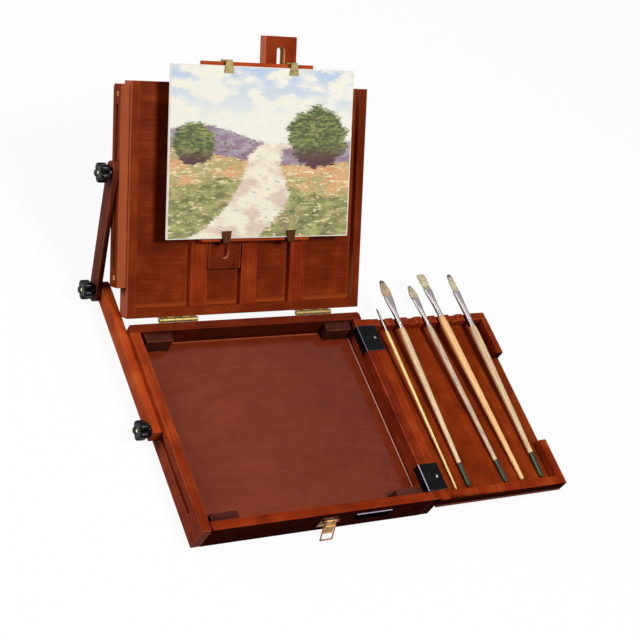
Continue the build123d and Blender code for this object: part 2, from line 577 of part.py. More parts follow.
# ---------------------------------------------------------------- lid
def lid_frame():
    depth = (0, LID_THICKNESS)
    stiles = []
    for x in mirrored(LID_INNER_X, HALF_WIDTH):
        stile = lid_block(x, (0, TRAY_DEPTH), depth)
        top = stile.edges().filter_by(Axis.Y).group_by(Axis.Z)[-1]
        outer = top.sort_by(lambda edge: abs(edge.center().X))[-1]
        stile = fillet(outer, LID_ROUND)
        stiles.append(stile - side_rail_screw_rods(RAIL_SCREW_SHANK + RUNNING_FIT))
    PIECES["lid_stiles"] = group([opened(stile) for stile in stiles])

    between = (-LID_INNER_X, LID_INNER_X)
    hinge_rail = lid_block(between, (0, RAIL_WIDTH), depth) - hinge_screw_holes(1)
    top_rail = lid_block(between, (TRAY_DEPTH - RAIL_WIDTH, TRAY_DEPTH), (PANEL_BACK, LID_THICKNESS))
    PIECES["lid_cross_rails"] = group([opened(hinge_rail), opened(top_rail)])

    panel = lid_block(between, (RAIL_WIDTH, TRAY_DEPTH), (LID_FLOOR, PANEL_BACK))
    for x, s in clamp_places():
        hole = (TRAY_HEIGHT + LID_FLOOR, TRAY_HEIGHT + PANEL_BACK)
        panel -= post(BOLT_RADIUS + RUNNING_FIT, x, HALF_DEPTH - s, hole)
    PIECES["lid_panel"] = opened(panel)

    guides = []
    for centre in (-GUIDE_WIDTH - CHANNEL_WIDTH, 0, GUIDE_WIDTH + CHANNEL_WIDTH):
        x = (centre - GUIDE_WIDTH / 2, centre + GUIDE_WIDTH / 2)
        guides.append(opened(lid_block(x, (RAIL_WIDTH, TRAY_DEPTH), (0, LID_FLOOR))))
    PIECES["mast_guides"] = group(guides)


def side_rail_screw_rods(radius, reach=RAIL_SCREW_DEPTH):
    """Screws of the side rail, from its outer face into the lid's left stile."""
    x = (RAIL_OUTER, -HALF_WIDTH + reach)
    z = TRAY_HEIGHT + SIDE_RAIL_INSET + SIDE_RAIL_HEIGHT / 2
    places = (SIDE_RAIL_START + RAIL_SCREW_INSET, SIDE_RAIL_END - RAIL_SCREW_INSET)
    return [rod(radius, x, HALF_DEPTH - s, z) for s in places]


def side_rail():
    x = (RAIL_OUTER, -HALF_WIDTH)
    depth = (SIDE_RAIL_INSET, SIDE_RAIL_INSET + SIDE_RAIL_HEIGHT)
    rail = lid_block(x, (SIDE_RAIL_START, SIDE_RAIL_END), depth)
    across = rail.edges().filter_by(Axis.X).group_by(Axis.Z)[-1]
    rail = fillet(across.sort_by(Axis.Y)[0], SIDE_RAIL_ROUND)
    slot_y = (HALF_DEPTH - RAIL_SLOT_END, HALF_DEPTH - RAIL_SLOT_START)
    slot_z = TRAY_HEIGHT + BRACE_TOP_DEPTH
    rail -= side_slot(SLOT_WIDTH, slot_y, slot_z, x)
    spread = (HEAD_GROOVE_WIDTH - SLOT_WIDTH) / 2
    rail -= block(
        (-HALF_WIDTH - HEAD_GROOVE_DEPTH, -HALF_WIDTH),
        (slot_y[0] - spread, slot_y[1] + spread),
        (slot_z - HEAD_GROOVE_WIDTH / 2, slot_z + HEAD_GROOVE_WIDTH / 2),
    )
    sinks = side_rail_screw_rods(RAIL_SCREW_HEAD + RUNNING_FIT, RAIL_SCREW_SINK - SIDE_RAIL_THICKNESS)
    rail -= side_rail_screw_rods(RAIL_SCREW_SHANK + RUNNING_FIT) + sinks
    PIECES["side_rail"] = opened(rail)

    shanks = side_rail_screw_rods(RAIL_SCREW_SHANK)
    heads = side_rail_screw_rods(RAIL_SCREW_HEAD, RAIL_SCREW_SINK - SIDE_RAIL_THICKNESS)
    screws = [shank + head for shank, head in zip(shanks, heads)]
    PIECES["lid_screws"] = group([opened(screw) for screw in screws + hinge_screws(1)])


# ---------------------------------------------------------------- stay
def knob(collar_height, height):
    """Lobed clamp knob along +Z, its collar's foot at the origin, bored for its bolt."""
    lobe_ring = KNOB_RADIUS - KNOB_LOBE
    outline = Circle(lobe_ring) + PolarLocations(lobe_ring, KNOB_LOBES) * Circle(KNOB_LOBE)
    head = extrude(Pos(0, 0, collar_height) * outline, height)
    head = chamfer(head.faces().sort_by(Axis.Z)[-1].edges(), KNOB_EDGE)
    body = head + post(KNOB_COLLAR, 0, 0, (0, collar_height))
    return body - post(BOLT_RADIUS + RUNNING_FIT, 0, 0, (0, collar_height + height))


def support_stay():
    lower = (LOWER_BOLT_Y, ARM_AXIS_Z)
    middle = (MIDDLE_BOLT_Y, ARM_AXIS_Z)
    upper = on_lid(BRACE_TOP_S, BRACE_TOP_DEPTH)
    arm_x = (ARM_OUTER, ARM_INNER)
    brace_x = (BRACE_OUTER, BRACE_INNER)

    bar = block(
        arm_x,
        (LOWER_BOLT_Y - ARM_HEEL, MIDDLE_BOLT_Y),
        (ARM_AXIS_Z - ARM_WIDTH / 2, ARM_AXIS_Z + ARM_WIDTH / 2),
    )
    bar += rod(ARM_WIDTH / 2, arm_x, *middle)
    for place in (lower, middle):
        bar -= rod(BOLT_RADIUS + RUNNING_FIT, arm_x, *place)
    head_x = (ARM_INNER - MIDDLE_HEAD_HEIGHT, ARM_INNER)
    bar -= rod(MIDDLE_HEAD + RUNNING_FIT, head_x, *middle)
    PIECES["support_arm"] = bar

    lower_end = ARM_OUTER - SEAT_GAP - KNOB_TOTAL + BOLT_TIP_SINK
    middle_end = BRACE_OUTER - SEAT_GAP - KNOB_TOTAL + BOLT_TIP_SINK
    head_far = -INNER_X - BOLT_SLOT_FIT
    head_near = head_far - BOLT_HEAD_HEIGHT
    half = BOLT_HEAD_WIDTH / 2
    slot_bolt = rod(BOLT_RADIUS, (lower_end, head_far), *lower)
    slot_bolt += block(
        (head_near, head_far),
        (LOWER_BOLT_Y - half, LOWER_BOLT_Y + half),
        (ARM_AXIS_Z - half, ARM_AXIS_Z + half),
    )
    pivot_bolt = rod(BOLT_RADIUS, (middle_end, ARM_INNER), *middle)
    pivot_bolt += rod(MIDDLE_HEAD, head_x, *middle)
    PIECES["arm_bolts"] = group([slot_bolt, pivot_bolt])

    rise = upper[1] - middle[1]
    run = upper[0] - middle[0]
    length = hypot(rise, run)
    lean = degrees(atan2(rise, run))
    ends = (-BRACE_OVERHANG, length + BRACE_OVERHANG)
    strip = block(brace_x, ends, (-BRACE_WIDTH / 2, BRACE_WIDTH / 2))
    for y in ends:
        strip += rod(BRACE_WIDTH / 2, brace_x, y, 0)
    for y in (0, length):
        strip -= rod(BOLT_RADIUS + RUNNING_FIT, brace_x, y, 0)
    PIECES["support_brace"] = Pos(0, *middle) * Rot(lean, 0, 0) * strip
    PIECES["brace_bolt"] = rod(BOLT_RADIUS, (middle_end, RAIL_OUTER - SEAT_GAP), *upper)

    facing_left = Rot(0, -90, 0) * knob(KNOB_COLLAR_HEIGHT, KNOB_HEIGHT)
    PIECES["lower_knob"] = Pos(ARM_OUTER - SEAT_GAP, *lower) * facing_left
    PIECES["middle_knob"] = Pos(BRACE_OUTER - SEAT_GAP, *middle) * facing_left
    PIECES["upper_knob"] = Pos(BRACE_OUTER - SEAT_GAP, *upper) * facing_left
    print(f"stay: brace {length:.3f} mm at {lean:.3f} degrees")
    print(f"stay: upper pivot y {upper[0]:.3f} z {upper[1]:.3f}")


# ---------------------------------------------------------------- masts, bars, clips, board
def clamp_places():
    """X and s of the two clamp bolts: the lower mast's, then the upper mast's."""
    return ((-MAST_X, LOWER_CLAMP_S), (MAST_X, UPPER_CLAMP_S))


def mast(centre, s):
    x = (centre - MAST_WIDTH / 2, centre + MAST_WIDTH / 2)
    strip = lid_block(x, s, (MAST_RECESS, LID_FLOOR - SEAT_GAP))
    return chamfer(strip.edges().filter_by(Axis.Y).group_by(Axis.Z)[0], MAST_EDGE)


def mast_slot(centre, s, depth):
    outline = Rot(0, 0, 90) * SlotOverall(s[1] - s[0] - 2 * MAST_SLOT_MARGIN, MAST_SLOT)
    place = Pos(centre, HALF_DEPTH - (s[0] + s[1]) / 2, TRAY_HEIGHT + depth[0])
    return extrude(place * outline, depth[1] - depth[0])


def bar_piece(centre, s, mast_x):
    """Cross bar clear of the battens, with a pad that meets its own mast."""
    bar = lid_block((centre - BAR_LENGTH / 2, centre + BAR_LENGTH / 2), s, (BAR_FRONT, BAR_BACK))
    pad_x = (mast_x - MAST_WIDTH / 2 + MAST_EDGE, mast_x + MAST_WIDTH / 2 - MAST_EDGE)
    return bar + lid_block(pad_x, s, (BAR_BACK, MAST_RECESS))


def clip(x, edge, inward):
    """Sheet clip on a bar's outer edge at s = edge; inward is the way to the board, -1 or 1."""
    outer = edge - inward * CLIP_SHEET
    strap_s = sorted((edge, outer))
    tail = CLIP_BACK + CLIP_SHEET + CLIP_TAIL
    narrow = (x - CLIP_NARROW / 2, x + CLIP_NARROW / 2)
    strap = lid_block(narrow, strap_s, (CLIP_FRONT, tail))
    curl_s = edge - inward * CLIP_CURL
    for depth in (tail, CLIP_FRONT + CLIP_CURL):
        strap += rod(CLIP_CURL, narrow, HALF_DEPTH - curl_s, TRAY_HEIGHT + depth)
    grip_s = edge + inward * CLIP_GRIP
    plate = Polygon(
        (x - CLIP_NARROW / 2, HALF_DEPTH - outer),
        (x + CLIP_NARROW / 2, HALF_DEPTH - outer),
        (x + CLIP_WIDE / 2, HALF_DEPTH - grip_s),
        (x - CLIP_WIDE / 2, HALF_DEPTH - grip_s),
        align=None,
    )
    return strap + extrude(Pos(0, 0, TRAY_HEIGHT + CLIP_FRONT) * plate, CLIP_SHEET)


def holders():
    upper_s = (UPPER_MAST_BOTTOM, UPPER_MAST_TOP)
    upper = mast(MAST_X, upper_s)
    head_x = (MAST_X - MAST_WIDTH / 2, MAST_X + MAST_WIDTH / 2)
    head_depth = (LID_FLOOR - SEAT_GAP, MAST_RECESS + MAST_HEAD_THICKNESS)
    upper += lid_block(head_x, (MAST_HEAD_BOTTOM, UPPER_MAST_TOP), head_depth)
    upper -= mast_slot(MAST_X, upper_s, (MAST_RECESS, MAST_RECESS + MAST_HEAD_THICKNESS))
    lower_s = (LOWER_MAST_BOTTOM, LOWER_MAST_TOP)
    lower = mast(-MAST_X, lower_s) - mast_slot(-MAST_X, lower_s, (MAST_RECESS, LID_FLOOR))
    PIECES["upper_mast"] = opened(upper)
    PIECES["lower_mast"] = opened(lower)

    upper_bar_s = (UPPER_BAR_TOP - BAR_HEIGHT, UPPER_BAR_TOP)
    lower_bar_s = (LOWER_BAR_BOTTOM, LOWER_BAR_BOTTOM + BAR_HEIGHT)
    PIECES["upper_bar"] = opened(bar_piece(UPPER_BAR_CENTRE, upper_bar_s, MAST_X))
    PIECES["lower_bar"] = opened(bar_piece(LOWER_BAR_CENTRE, lower_bar_s, -MAST_X))
    upper_clips = [clip(UPPER_BAR_CENTRE + x, UPPER_BAR_TOP, -1) for x in CLIP_OFFSETS]
    lower_clips = [clip(LOWER_BAR_CENTRE + x, LOWER_BAR_BOTTOM, 1) for x in CLIP_OFFSETS]
    PIECES["upper_clips"] = group([opened(piece) for piece in upper_clips])
    PIECES["lower_clips"] = group([opened(piece) for piece in lower_clips])

    board_x = (BOARD_CENTRE - BOARD_WIDTH / 2, BOARD_CENTRE + BOARD_WIDTH / 2)
    board_s = (BOARD_BOTTOM, BOARD_BOTTOM + BOARD_HEIGHT)
    PIECES["painting_board"] = opened(lid_block(board_x, board_s, (BOARD_FRONT, BOARD_BACK)))

    bolts = []
    knobs = []
    head_foot = TRAY_HEIGHT + MAST_RECESS - SEAT_GAP
    knob_foot = TRAY_HEIGHT + PANEL_BACK + SEAT_GAP
    tip = knob_foot + MAST_KNOB_COLLAR + MAST_KNOB_HEIGHT - BOLT_TIP_SINK
    for x, s in clamp_places():
        y = HALF_DEPTH - s
        bolt = post(BOLT_RADIUS, x, y, (head_foot - CLAMP_HEAD_HEIGHT, tip))
        bolt += post(CLAMP_HEAD, x, y, (head_foot - CLAMP_HEAD_HEIGHT, head_foot))
        bolts.append(opened(bolt))
        knobs.append(opened(Pos(x, y, knob_foot) * knob(MAST_KNOB_COLLAR, MAST_KNOB_HEIGHT)))
    PIECES["clamp_bolts"] = group(bolts)
    PIECES["lower_mast_knob"], PIECES["upper_mast_knob"] = knobs


# ---------------------------------------------------------------- brush tray
def notch_x(number):
    """X of a notch's centre in the back rim."""
    return BRUSH_X0 + NOTCH_FIRST + NOTCH_PITCH * number


def brush_tray():
    x = (BRUSH_X0, BRUSH_X1)
    y = (BRUSH_Y0, BRUSH_Y1)
    rim_z = (BRUSH_FLOOR, BRUSH_TOP)
    PIECES["brush_tray_base"] = block(x, y, (BRUSH_FOOT, BRUSH_FLOOR))

    inner = (BRUSH_X0 + LEFT_RIM, BRUSH_X1)
    back = block(inner, (BRUSH_Y1 - BACK_RIM, BRUSH_Y1), rim_z)
    middle_z = BRUSH_TOP - NOTCH_DEPTH + NOTCH_RADIUS
    for number in range(NOTCH_COUNT):
        centre = Pos(notch_x(number), BRUSH_Y1 - BACK_RIM / 2, middle_z)
        back -= centre * Rot(90, 0, 0) * Cylinder(NOTCH_RADIUS, BACK_RIM)
    PIECES["brush_tray_back_rim"] = back

    left = block((BRUSH_X0, BRUSH_X0 + LEFT_RIM), y, rim_z) - hook_screw_rods(
        SCREW_SHANK + RUNNING_FIT, (BRUSH_TOP - SCREW_LENGTH, BRUSH_TOP)
    )
    front = block(inner, (BRUSH_Y0, BRUSH_Y0 + FRONT_RIM), rim_z)
    stub_end = BRUSH_Y1 - BACK_RIM
    stub_x = (BRUSH_X1 - BACK_STUB_WIDTH, BRUSH_X1)
    back_stub = block(stub_x, (stub_end - BACK_STUB_LENGTH, stub_end), rim_z)
    stub_start = BRUSH_Y0 + FRONT_RIM
    stub_x = (BRUSH_X1 - FRONT_STUB_WIDTH, BRUSH_X1)
    front_stub = block(stub_x, (stub_start, stub_start + FRONT_STUB_LENGTH), rim_z)
    PIECES["brush_tray_rims"] = group([left, front, back_stub, front_stub])


def hook_screw_rods(radius, z):
    """Screws of the hooks, in the middle of each, down into the brush tray's left rim."""
    rods = []
    for y in (REAR_HOOK_Y, FRONT_HOOK_Y):
        rods.append(post(radius, BRUSH_X0 + LEFT_RIM / 2, sum(y) / 2, z))
    return rods


def hooks():
    top_z = (BRUSH_TOP, BRUSH_TOP + HOOK_SHEET)
    wall = INNER_X - SEAT_GAP
    plates = []
    for y in (REAR_HOOK_Y, FRONT_HOOK_Y):
        plate = block((wall - HOOK_SHEET, BRUSH_X0 + HOOK_REACH), y, top_z)
        plate += block((wall - HOOK_SHEET, wall), y, (top_z[1] - HOOK_FLANGE, top_z[1]))
        bend = plate.edges().filter_by(Axis.Y).group_by(Axis.Z)[-1].sort_by(Axis.X)[0]
        plate = fillet(bend, HOOK_BEND)
        plates.append(plate - hook_screw_rods(SCREW_SHANK + RUNNING_FIT, top_z))
    PIECES["brush_tray_hooks"] = group(plates)
    shanks = hook_screw_rods(SCREW_SHANK, (BRUSH_TOP - SCREW_LENGTH, top_z[1]))
    heads = hook_screw_rods(SCREW_HEAD, (top_z[1], top_z[1] + SCREW_HEAD_HEIGHT))
    PIECES["hook_screws"] = group([shank + head for shank, head in zip(shanks, heads)])


# ---------------------------------------------------------------- brushes
def strands(width, thickness, length, rounding, fan):
    """Bristles along +Z over a slice, fanned across the width, shorter towards the sides."""
    across = int((width - STRAND_WIDTH) / STRAND_PITCH) + 1
    deep = int((thickness - STRAND_WIDTH) / STRAND_PITCH) + 1
    backing = extrude(Ellipse(width / 2, thickness / 2), STRAND_BACKING)
    half = STRAND_WIDTH / 2
    root = STRAND_BACKING / 2
    hairs = []
    for column in range(across):
        for row in range(deep):
            x = (column - (across - 1) / 2) * STRAND_PITCH
            y = (row - (deep - 1) / 2) * STRAND_PITCH
            side = 2 * x / width
            front = 2 * y / thickness
            if hypot(side, front) > STRAND_SPREAD:
                continue
            profile = 1 - rounding * side ** 2 - STRAND_CROWN * front ** 2
            ragged = STRAND_RAGGED * ((3 * column + 5 * row) % 4)
            tip = STRAND_BACKING + (length - STRAND_BACKING) * (profile - ragged)
            hair = block((-half, half), (-half, half), (0, tip - root))
            hairs.append(Pos(x, y, root) * Rot(0, fan * side, 0) * hair)
    return backing.fuse(*hairs), len(hairs)


def brush(notch, rounding, fan, sizes):
    """Handle, ferrule and head of one brush, laid from the base up into its notch."""
    offset, end_x, end_y, handle, butt, belly, neck, seat = sizes[:8]
    ferrule, width, thickness, bristle = sizes[8:]
    outline = [(butt, butt)]
    outline += [(handle * place, butt + (belly - butt) * share) for place, share in HANDLE_SWELL]
    outline += [(handle * place, neck + (belly - neck) * share) for place, share in HANDLE_SHOULDER]
    outline.append((handle, neck))
    stick = loft([Pos(0, 0, z) * Circle(radius) for z, radius in outline], ruled=True)
    stick += Pos(0, 0, butt) * Sphere(butt)
    stick += post(neck - FERRULE_WALL - RUNNING_FIT, 0, 0, (handle, handle + HANDLE_TENON))

    round_part = HANDLE_TENON + 2 * neck
    tube = post(neck, 0, 0, (0, round_part))
    mouth = loft([
        Pos(0, 0, round_part) * Circle(neck),
        Pos(0, 0, ferrule) * Ellipse(width / 2, thickness / 2),
    ])
    metal = tube + mouth - post(neck - FERRULE_WALL, 0, 0, (0, HANDLE_TENON + SEAT_GAP))
    inner_width = width - 2 * FERRULE_WALL
    inner_thickness = thickness - 2 * FERRULE_WALL
    hairs, count = strands(inner_width, inner_thickness, bristle, rounding, fan)

    start = Vector(
        BRUSH_X0 + end_x,
        BRUSH_Y0 + FRONT_RIM + end_y,
        BRUSH_FLOOR + butt + SEAT_GAP,
    )
    rest = Vector(
        notch_x(notch) + offset,
        BRUSH_Y1 - BACK_RIM / 2,
        BRUSH_TOP - NOTCH_DEPTH + seat + 2 * SEAT_GAP,
    )
    line = (rest - start).normalized()
    place = Plane(start, x_dir=line.cross(Vector(0, 0, 1)), z_dir=line).location
    at_neck = Pos(0, 0, handle)
    at_mouth = Pos(0, 0, handle + ferrule)
    return place * stick, place * at_neck * metal, place * at_mouth * hairs, count


def brushes():
    total = 0
    for name, (notch, rounding, fan, sizes) in BRUSHES.items():
        stick, metal, hairs, count = brush(notch, rounding, fan, sizes)
        PIECES[name + "_handle"] = stick
        PIECES[name + "_ferrule"] = metal
        PIECES[name + "_head"] = hairs
        total += count
    print(f"bristles: {total} strands")


# ---------------------------------------------------------------- build
tray_walls()
tray_floor()
hinges()
latch()
PIECES["tray_screws"] = group(hinge_screws(-1) + latch_screws())
lid_frame()
side_rail()
support_stay()
holders()
brush_tray()
hooks()
brushes()

os.makedirs("parts", exist_ok=True)
for name, piece in PIECES.items():
    export_step(piece, f"parts/{name}.step")
print(f"{len(PIECES)} pieces")
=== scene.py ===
"""Pochade box opened for painting: tray and palette, hinged lid on a stay, clipped board, brushes.

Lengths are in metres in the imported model's frame: +X right, +Y back, +Z up.
"""

import logging
from dataclasses import dataclass, field, replace
from enum import Enum
from math import cos, pi, radians, sin, sqrt
from typing import Any, Sequence

import bmesh
import bpy
import numpy as np
from mathutils import Matrix, Vector


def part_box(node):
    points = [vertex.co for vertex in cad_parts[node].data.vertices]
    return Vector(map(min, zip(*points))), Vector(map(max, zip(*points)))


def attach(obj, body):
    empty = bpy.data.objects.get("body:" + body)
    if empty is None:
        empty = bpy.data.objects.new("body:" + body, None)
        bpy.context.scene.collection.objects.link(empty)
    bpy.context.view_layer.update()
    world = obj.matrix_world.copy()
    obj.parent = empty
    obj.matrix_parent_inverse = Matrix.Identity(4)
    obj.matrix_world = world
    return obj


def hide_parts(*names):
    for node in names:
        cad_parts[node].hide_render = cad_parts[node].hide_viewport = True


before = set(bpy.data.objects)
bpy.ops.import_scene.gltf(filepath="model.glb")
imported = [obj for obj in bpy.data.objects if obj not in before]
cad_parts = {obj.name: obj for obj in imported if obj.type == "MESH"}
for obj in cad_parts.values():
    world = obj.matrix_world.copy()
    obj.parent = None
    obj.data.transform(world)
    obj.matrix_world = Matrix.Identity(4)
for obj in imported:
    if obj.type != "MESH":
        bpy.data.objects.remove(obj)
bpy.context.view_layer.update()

LOG = logging.getLogger("pochade_box")
MM = 0.001

Colour = tuple[float, float, float, float]
Point = tuple[float, float, float]


# ---------------------------------------------------------------- shader tools
def paint(red: float, green: float, blue: float) -> Colour:
    """Turns a colour as it looks on a screen into the linear colour that a node takes.

    Args:
        red: Red as shown, 0 to 1.
        green: Green as shown, 0 to 1.
        blue: Blue as shown, 0 to 1.

    Returns:
        The linear colour, with full opacity.
    """
    shown = (red, green, blue)
    linear = [v / 12.92 if v <= 0.04045 else ((v + 0.055) / 1.055) ** 2.4 for v in shown]
    return (*linear, 1.0)


class Signal:
    """An output socket that adds Math nodes when it stands in a Python expression."""

    def __init__(self, tree: bpy.types.NodeTree, socket: bpy.types.NodeSocket) -> None:
        """Keeps the node tree and the socket."""
        self.tree = tree
        self.socket = socket

    def maths(self, operation: str, *values: "Signal | float") -> "Signal":
        """Adds one Math node.

        Args:
            operation: The node's operation.
            values: Its inputs in order, numbers or signals.

        Returns:
            The node's result.
        """
        node = self.tree.nodes.new("ShaderNodeMath")
        node.operation = operation
        for place, value in zip(node.inputs, values):
            if isinstance(value, Signal):
                self.tree.links.new(value.socket, place)
            else:
                place.default_value = value
        return Signal(self.tree, node.outputs[0])

    def __add__(self, other: "Signal | float") -> "Signal":
        """Sum."""
        return self.maths("ADD", self, other)

    def __radd__(self, other: float) -> "Signal":
        """Sum with a number first."""
        return self.maths("ADD", other, self)

    def __sub__(self, other: "Signal | float") -> "Signal":
        """Difference."""
        return self.maths("SUBTRACT", self, other)

    def __rsub__(self, other: float) -> "Signal":
        """Difference from a number."""
        return self.maths("SUBTRACT", other, self)

    def __mul__(self, other: "Signal | float") -> "Signal":
        """Product."""
        return self.maths("MULTIPLY", self, other)

    def __rmul__(self, other: float) -> "Signal":
        """Product with a number first."""
        return self.maths("MULTIPLY", other, self)

    def __truediv__(self, other: "Signal | float") -> "Signal":
        """Quotient."""
        return self.maths("DIVIDE", self, other)

    def __gt__(self, other: "Signal | float") -> "Signal":
        """One where it is greater, and nought elsewhere."""
        return self.maths("GREATER_THAN", self, other)

    def __lt__(self, other: "Signal | float") -> "Signal":
        """One where it is less, and nought elsewhere."""
        return self.maths("LESS_THAN", self, other)

    def sine(self) -> "Signal":
        """Sine of an angle in radians."""
        return self.maths("SINE", self)

    def size(self) -> "Signal":
        """Value without its sign."""
        return self.maths("ABSOLUTE", self)


class NodeBench:
    """The node tree of one material or world, and the one method that adds its nodes."""

    def __init__(self, name: str, world: bpy.types.World | None = None) -> None:
        """Starts with an empty node tree.

        Args:
            name: The name of the material that is made.
            world: A world to work on in place of a new material.
        """
        self.material = world or bpy.data.materials.new(name)
        self.material.use_nodes = True
        self.tree = self.material.node_tree
        self.tree.nodes.clear()

    def add(self, kind: str, settings: dict[str, Any], values: dict[Any, Any], output: Any = 0) -> Signal:
        """Adds a node.

        Args:
            kind: The node's type.
            settings: Its settings; "stops" gives a ramp's positions and colours.
            values: Numbers, colours or signals for its sockets, by name or number.
            output: The output to return, by name or number.

        Returns:
            That output.
        """
        node = self.tree.nodes.new(kind)
        for name, value in settings.items():
            if name == "stops":
                steps = node.color_ramp.elements
                while len(steps) < len(value):
                    steps.new(1.0)
                for step, (position, colour) in zip(steps, value):
                    step.position = position
                    step.color = colour
            else:
                setattr(node, name, value)
        for name, value in values.items():
            if isinstance(value, Signal):
                self.tree.links.new(value.socket, node.inputs[name])
            else:
                node.inputs[name].default_value = value
        return Signal(self.tree, node.outputs[output])

    def place(self) -> Signal:
        """Position in the frame at rest."""
        return self.add("ShaderNodeTexCoord", {}, {}, "Object")

    def reach(self, place: Signal, axis: Sequence[float], origin: Sequence[float] = (0, 0, 0)) -> Signal:
        """Distance along an axis from an origin.

        Args:
            place: A position.
            axis: The axis, of length one.
            origin: Where the distance starts.

        Returns:
            The distance.
        """
        start = sum(a * b for a, b in zip(axis, origin))
        values = {0: place, 1: tuple(axis)}
        dot = self.add("ShaderNodeVectorMath", {"operation": "DOT_PRODUCT"}, values, "Value")
        return dot - start if start else dot

    def facing(self, direction: Sequence[float]) -> Signal:
        """How much the surface faces a direction of the frame at rest: one towards it, minus one away."""
        return self.reach(self.add("ShaderNodeTexCoord", {}, {}, "Normal"), direction)

    def point(self, x: Signal | float, y: Signal | float, z: Signal | float) -> Signal:
        """A position from three numbers."""
        return self.add("ShaderNodeCombineXYZ", {}, {0: x, 1: y, 2: z})

    def noise(self, place: Signal, scale: float, detail: float = 2.0, distortion: float = 0.0) -> Signal:
        """Cloudy noise about one half; detail adds finer layers, and distortion swirls it."""
        values = {"Vector": place, "Scale": scale, "Detail": detail, "Distortion": distortion}
        return self.add("ShaderNodeTexNoise", {}, values)

    def fade(self, value: Signal, low: float, high: float) -> Signal:
        """Smooth step from nought at low to one at high."""
        settings = {"interpolation_type": "SMOOTHSTEP"}
        return self.add("ShaderNodeMapRange", settings, {0: value, 1: low, 2: high})

    def mix(self, factor: Signal | float, first: Any, second: Any, how: str = "MIX") -> Signal:
        """Mixes two colours, each a colour or a signal; the factor is how much of the second shows."""
        settings = {"data_type": "RGBA", "blend_type": how}
        return self.add("ShaderNodeMix", settings, {0: factor, 6: first, 7: second}, 2)

    def ramp(self, value: Signal, stops: Sequence[tuple[float, Colour]]) -> Signal:
        """Colour from a value by way of a ramp."""
        return self.add("ShaderNodeValToRGB", {"stops": stops}, {"Fac": value})

    def bump(self, height: Signal, depth: float, strength: float = 1.0) -> Signal:
        """Normal of a surface whose relief is height times depth in metres."""
        values = {"Height": height, "Distance": depth, "Strength": strength}
        return self.add("ShaderNodeBump", {}, values, "Normal")

    def surface(self, values: dict[str, Any]) -> bpy.types.Material:
        """Closes the material with its shader, whose sockets are given, and returns it."""
        self.add_output(self.add("ShaderNodeBsdfPrincipled", {}, values))
        return self.material

    def add_output(self, shader: Signal, kind: str = "ShaderNodeOutputMaterial") -> None:
        """Links a shader to an output node of the given type."""
        node = self.tree.nodes.new(kind)
        self.tree.links.new(shader.socket, node.inputs["Surface"])


# ---------------------------------------------------------------- directions and places on the lid
RIGHT, BACK, UP = (1.0, 0.0, 0.0), (0.0, 1.0, 0.0), (0.0, 0.0, 1.0)
LEFT, FRONT = (-1.0, 0.0, 0.0), (0.0, -1.0, 0.0)
LID_OPEN = radians(136.0)
HINGE_PIN = (141.3 * MM, 36.5 * MM)
HINGE_EDGE = 3.8 * MM
LID_RISE = (0.0, -cos(LID_OPEN), sin(LID_OPEN))
LID_INWARD = (0.0, sin(LID_OPEN), cos(LID_OPEN))
LID_FALL = (0.0, cos(LID_OPEN), -sin(LID_OPEN))
LID_OUTWARD = (0.0, -sin(LID_OPEN), -cos(LID_OPEN))
BEND_OUTWARD = (-sqrt(0.5), 0.0, sqrt(0.5))
BRACE_LEAN = radians(59.357)


def lid_point(x: float, up: float, depth: float) -> Vector:
    """A point of the open lid, from x, the distance up from its hinge edge and the depth from its rim."""
    start = Vector((x, *HINGE_PIN)) + Vector(LID_RISE) * (up + HINGE_EDGE)
    return start + Vector(LID_INWARD) * depth


LID_FOOT = tuple(lid_point(0.0, 0.0, 0.0))
BOARD_CORNER = lid_point(-122.2 * MM, 93.3 * MM, -15.1 * MM)
BOARD_SIZE = (254.0 * MM, 203.2 * MM)


class Run(Enum):
    """Which way a board's grain runs: along, across and through the board."""

    ACROSS_BOX = (RIGHT, BACK, UP)
    ALONG_BOX = (BACK, RIGHT, UP)
    UP_LID = (LID_RISE, RIGHT, LID_INWARD)
    ACROSS_LID = (RIGHT, LID_RISE, LID_INWARD)
    ALONG_BRACE = (
        (0.0, cos(BRACE_LEAN), sin(BRACE_LEAN)),
        (0.0, -sin(BRACE_LEAN), cos(BRACE_LEAN)),
        RIGHT,
    )


# ---------------------------------------------------------------- finishes
class Finish:
    """A finish: its class builds the material, and says if softened edges look different."""

    name: str

    def edge(self) -> "Finish":
        """The finish of softened edges."""
        return self

    def material(self) -> bpy.types.Material:
        """Builds the material."""
        raise NotImplementedError


@dataclass(frozen=True)
class Stain:
    """Three tones of one wood stain, from its dark streaks to its light ones."""

    dark: Colour
    middle: Colour
    light: Colour

    def stops(self, low: float, high: float) -> list[tuple[float, Colour]]:
        """Stops of a ramp that is dark at low, middle at one half and light at high."""
        return [(low, self.dark), (0.50, self.middle), (high, self.light)]


RED_BROWN = Stain(paint(0.36, 0.10, 0.035), paint(0.53, 0.18, 0.07), paint(0.68, 0.29, 0.12))
LID_BROWN = Stain(paint(0.34, 0.105, 0.03), paint(0.475, 0.17, 0.055), paint(0.62, 0.27, 0.105))
# The back wall's darker stain is painted shade, where the raised lid keeps light off it.
BACK_SHADE_BROWN = Stain(paint(0.27, 0.085, 0.035), paint(0.41, 0.14, 0.06), paint(0.54, 0.21, 0.09))
WALL_BROWN = Stain(paint(0.32, 0.09, 0.045), paint(0.48, 0.165, 0.075), paint(0.62, 0.26, 0.11))
# The corner blocks' dark purplish stain is painted shade and painted reflection in the tray's corners.
BLOCK_SHADE_BROWN = Stain(paint(0.17, 0.07, 0.055), paint(0.28, 0.125, 0.10), paint(0.38, 0.19, 0.15))
ARM_BROWN = Stain(paint(0.48, 0.155, 0.05), paint(0.67, 0.27, 0.105), paint(0.80, 0.40, 0.19))
BRACE_BROWN = Stain(paint(0.24, 0.085, 0.055), paint(0.37, 0.16, 0.11), paint(0.48, 0.23, 0.17))
BASE_BROWN = Stain(paint(0.34, 0.10, 0.025), paint(0.50, 0.175, 0.05), paint(0.64, 0.27, 0.09))
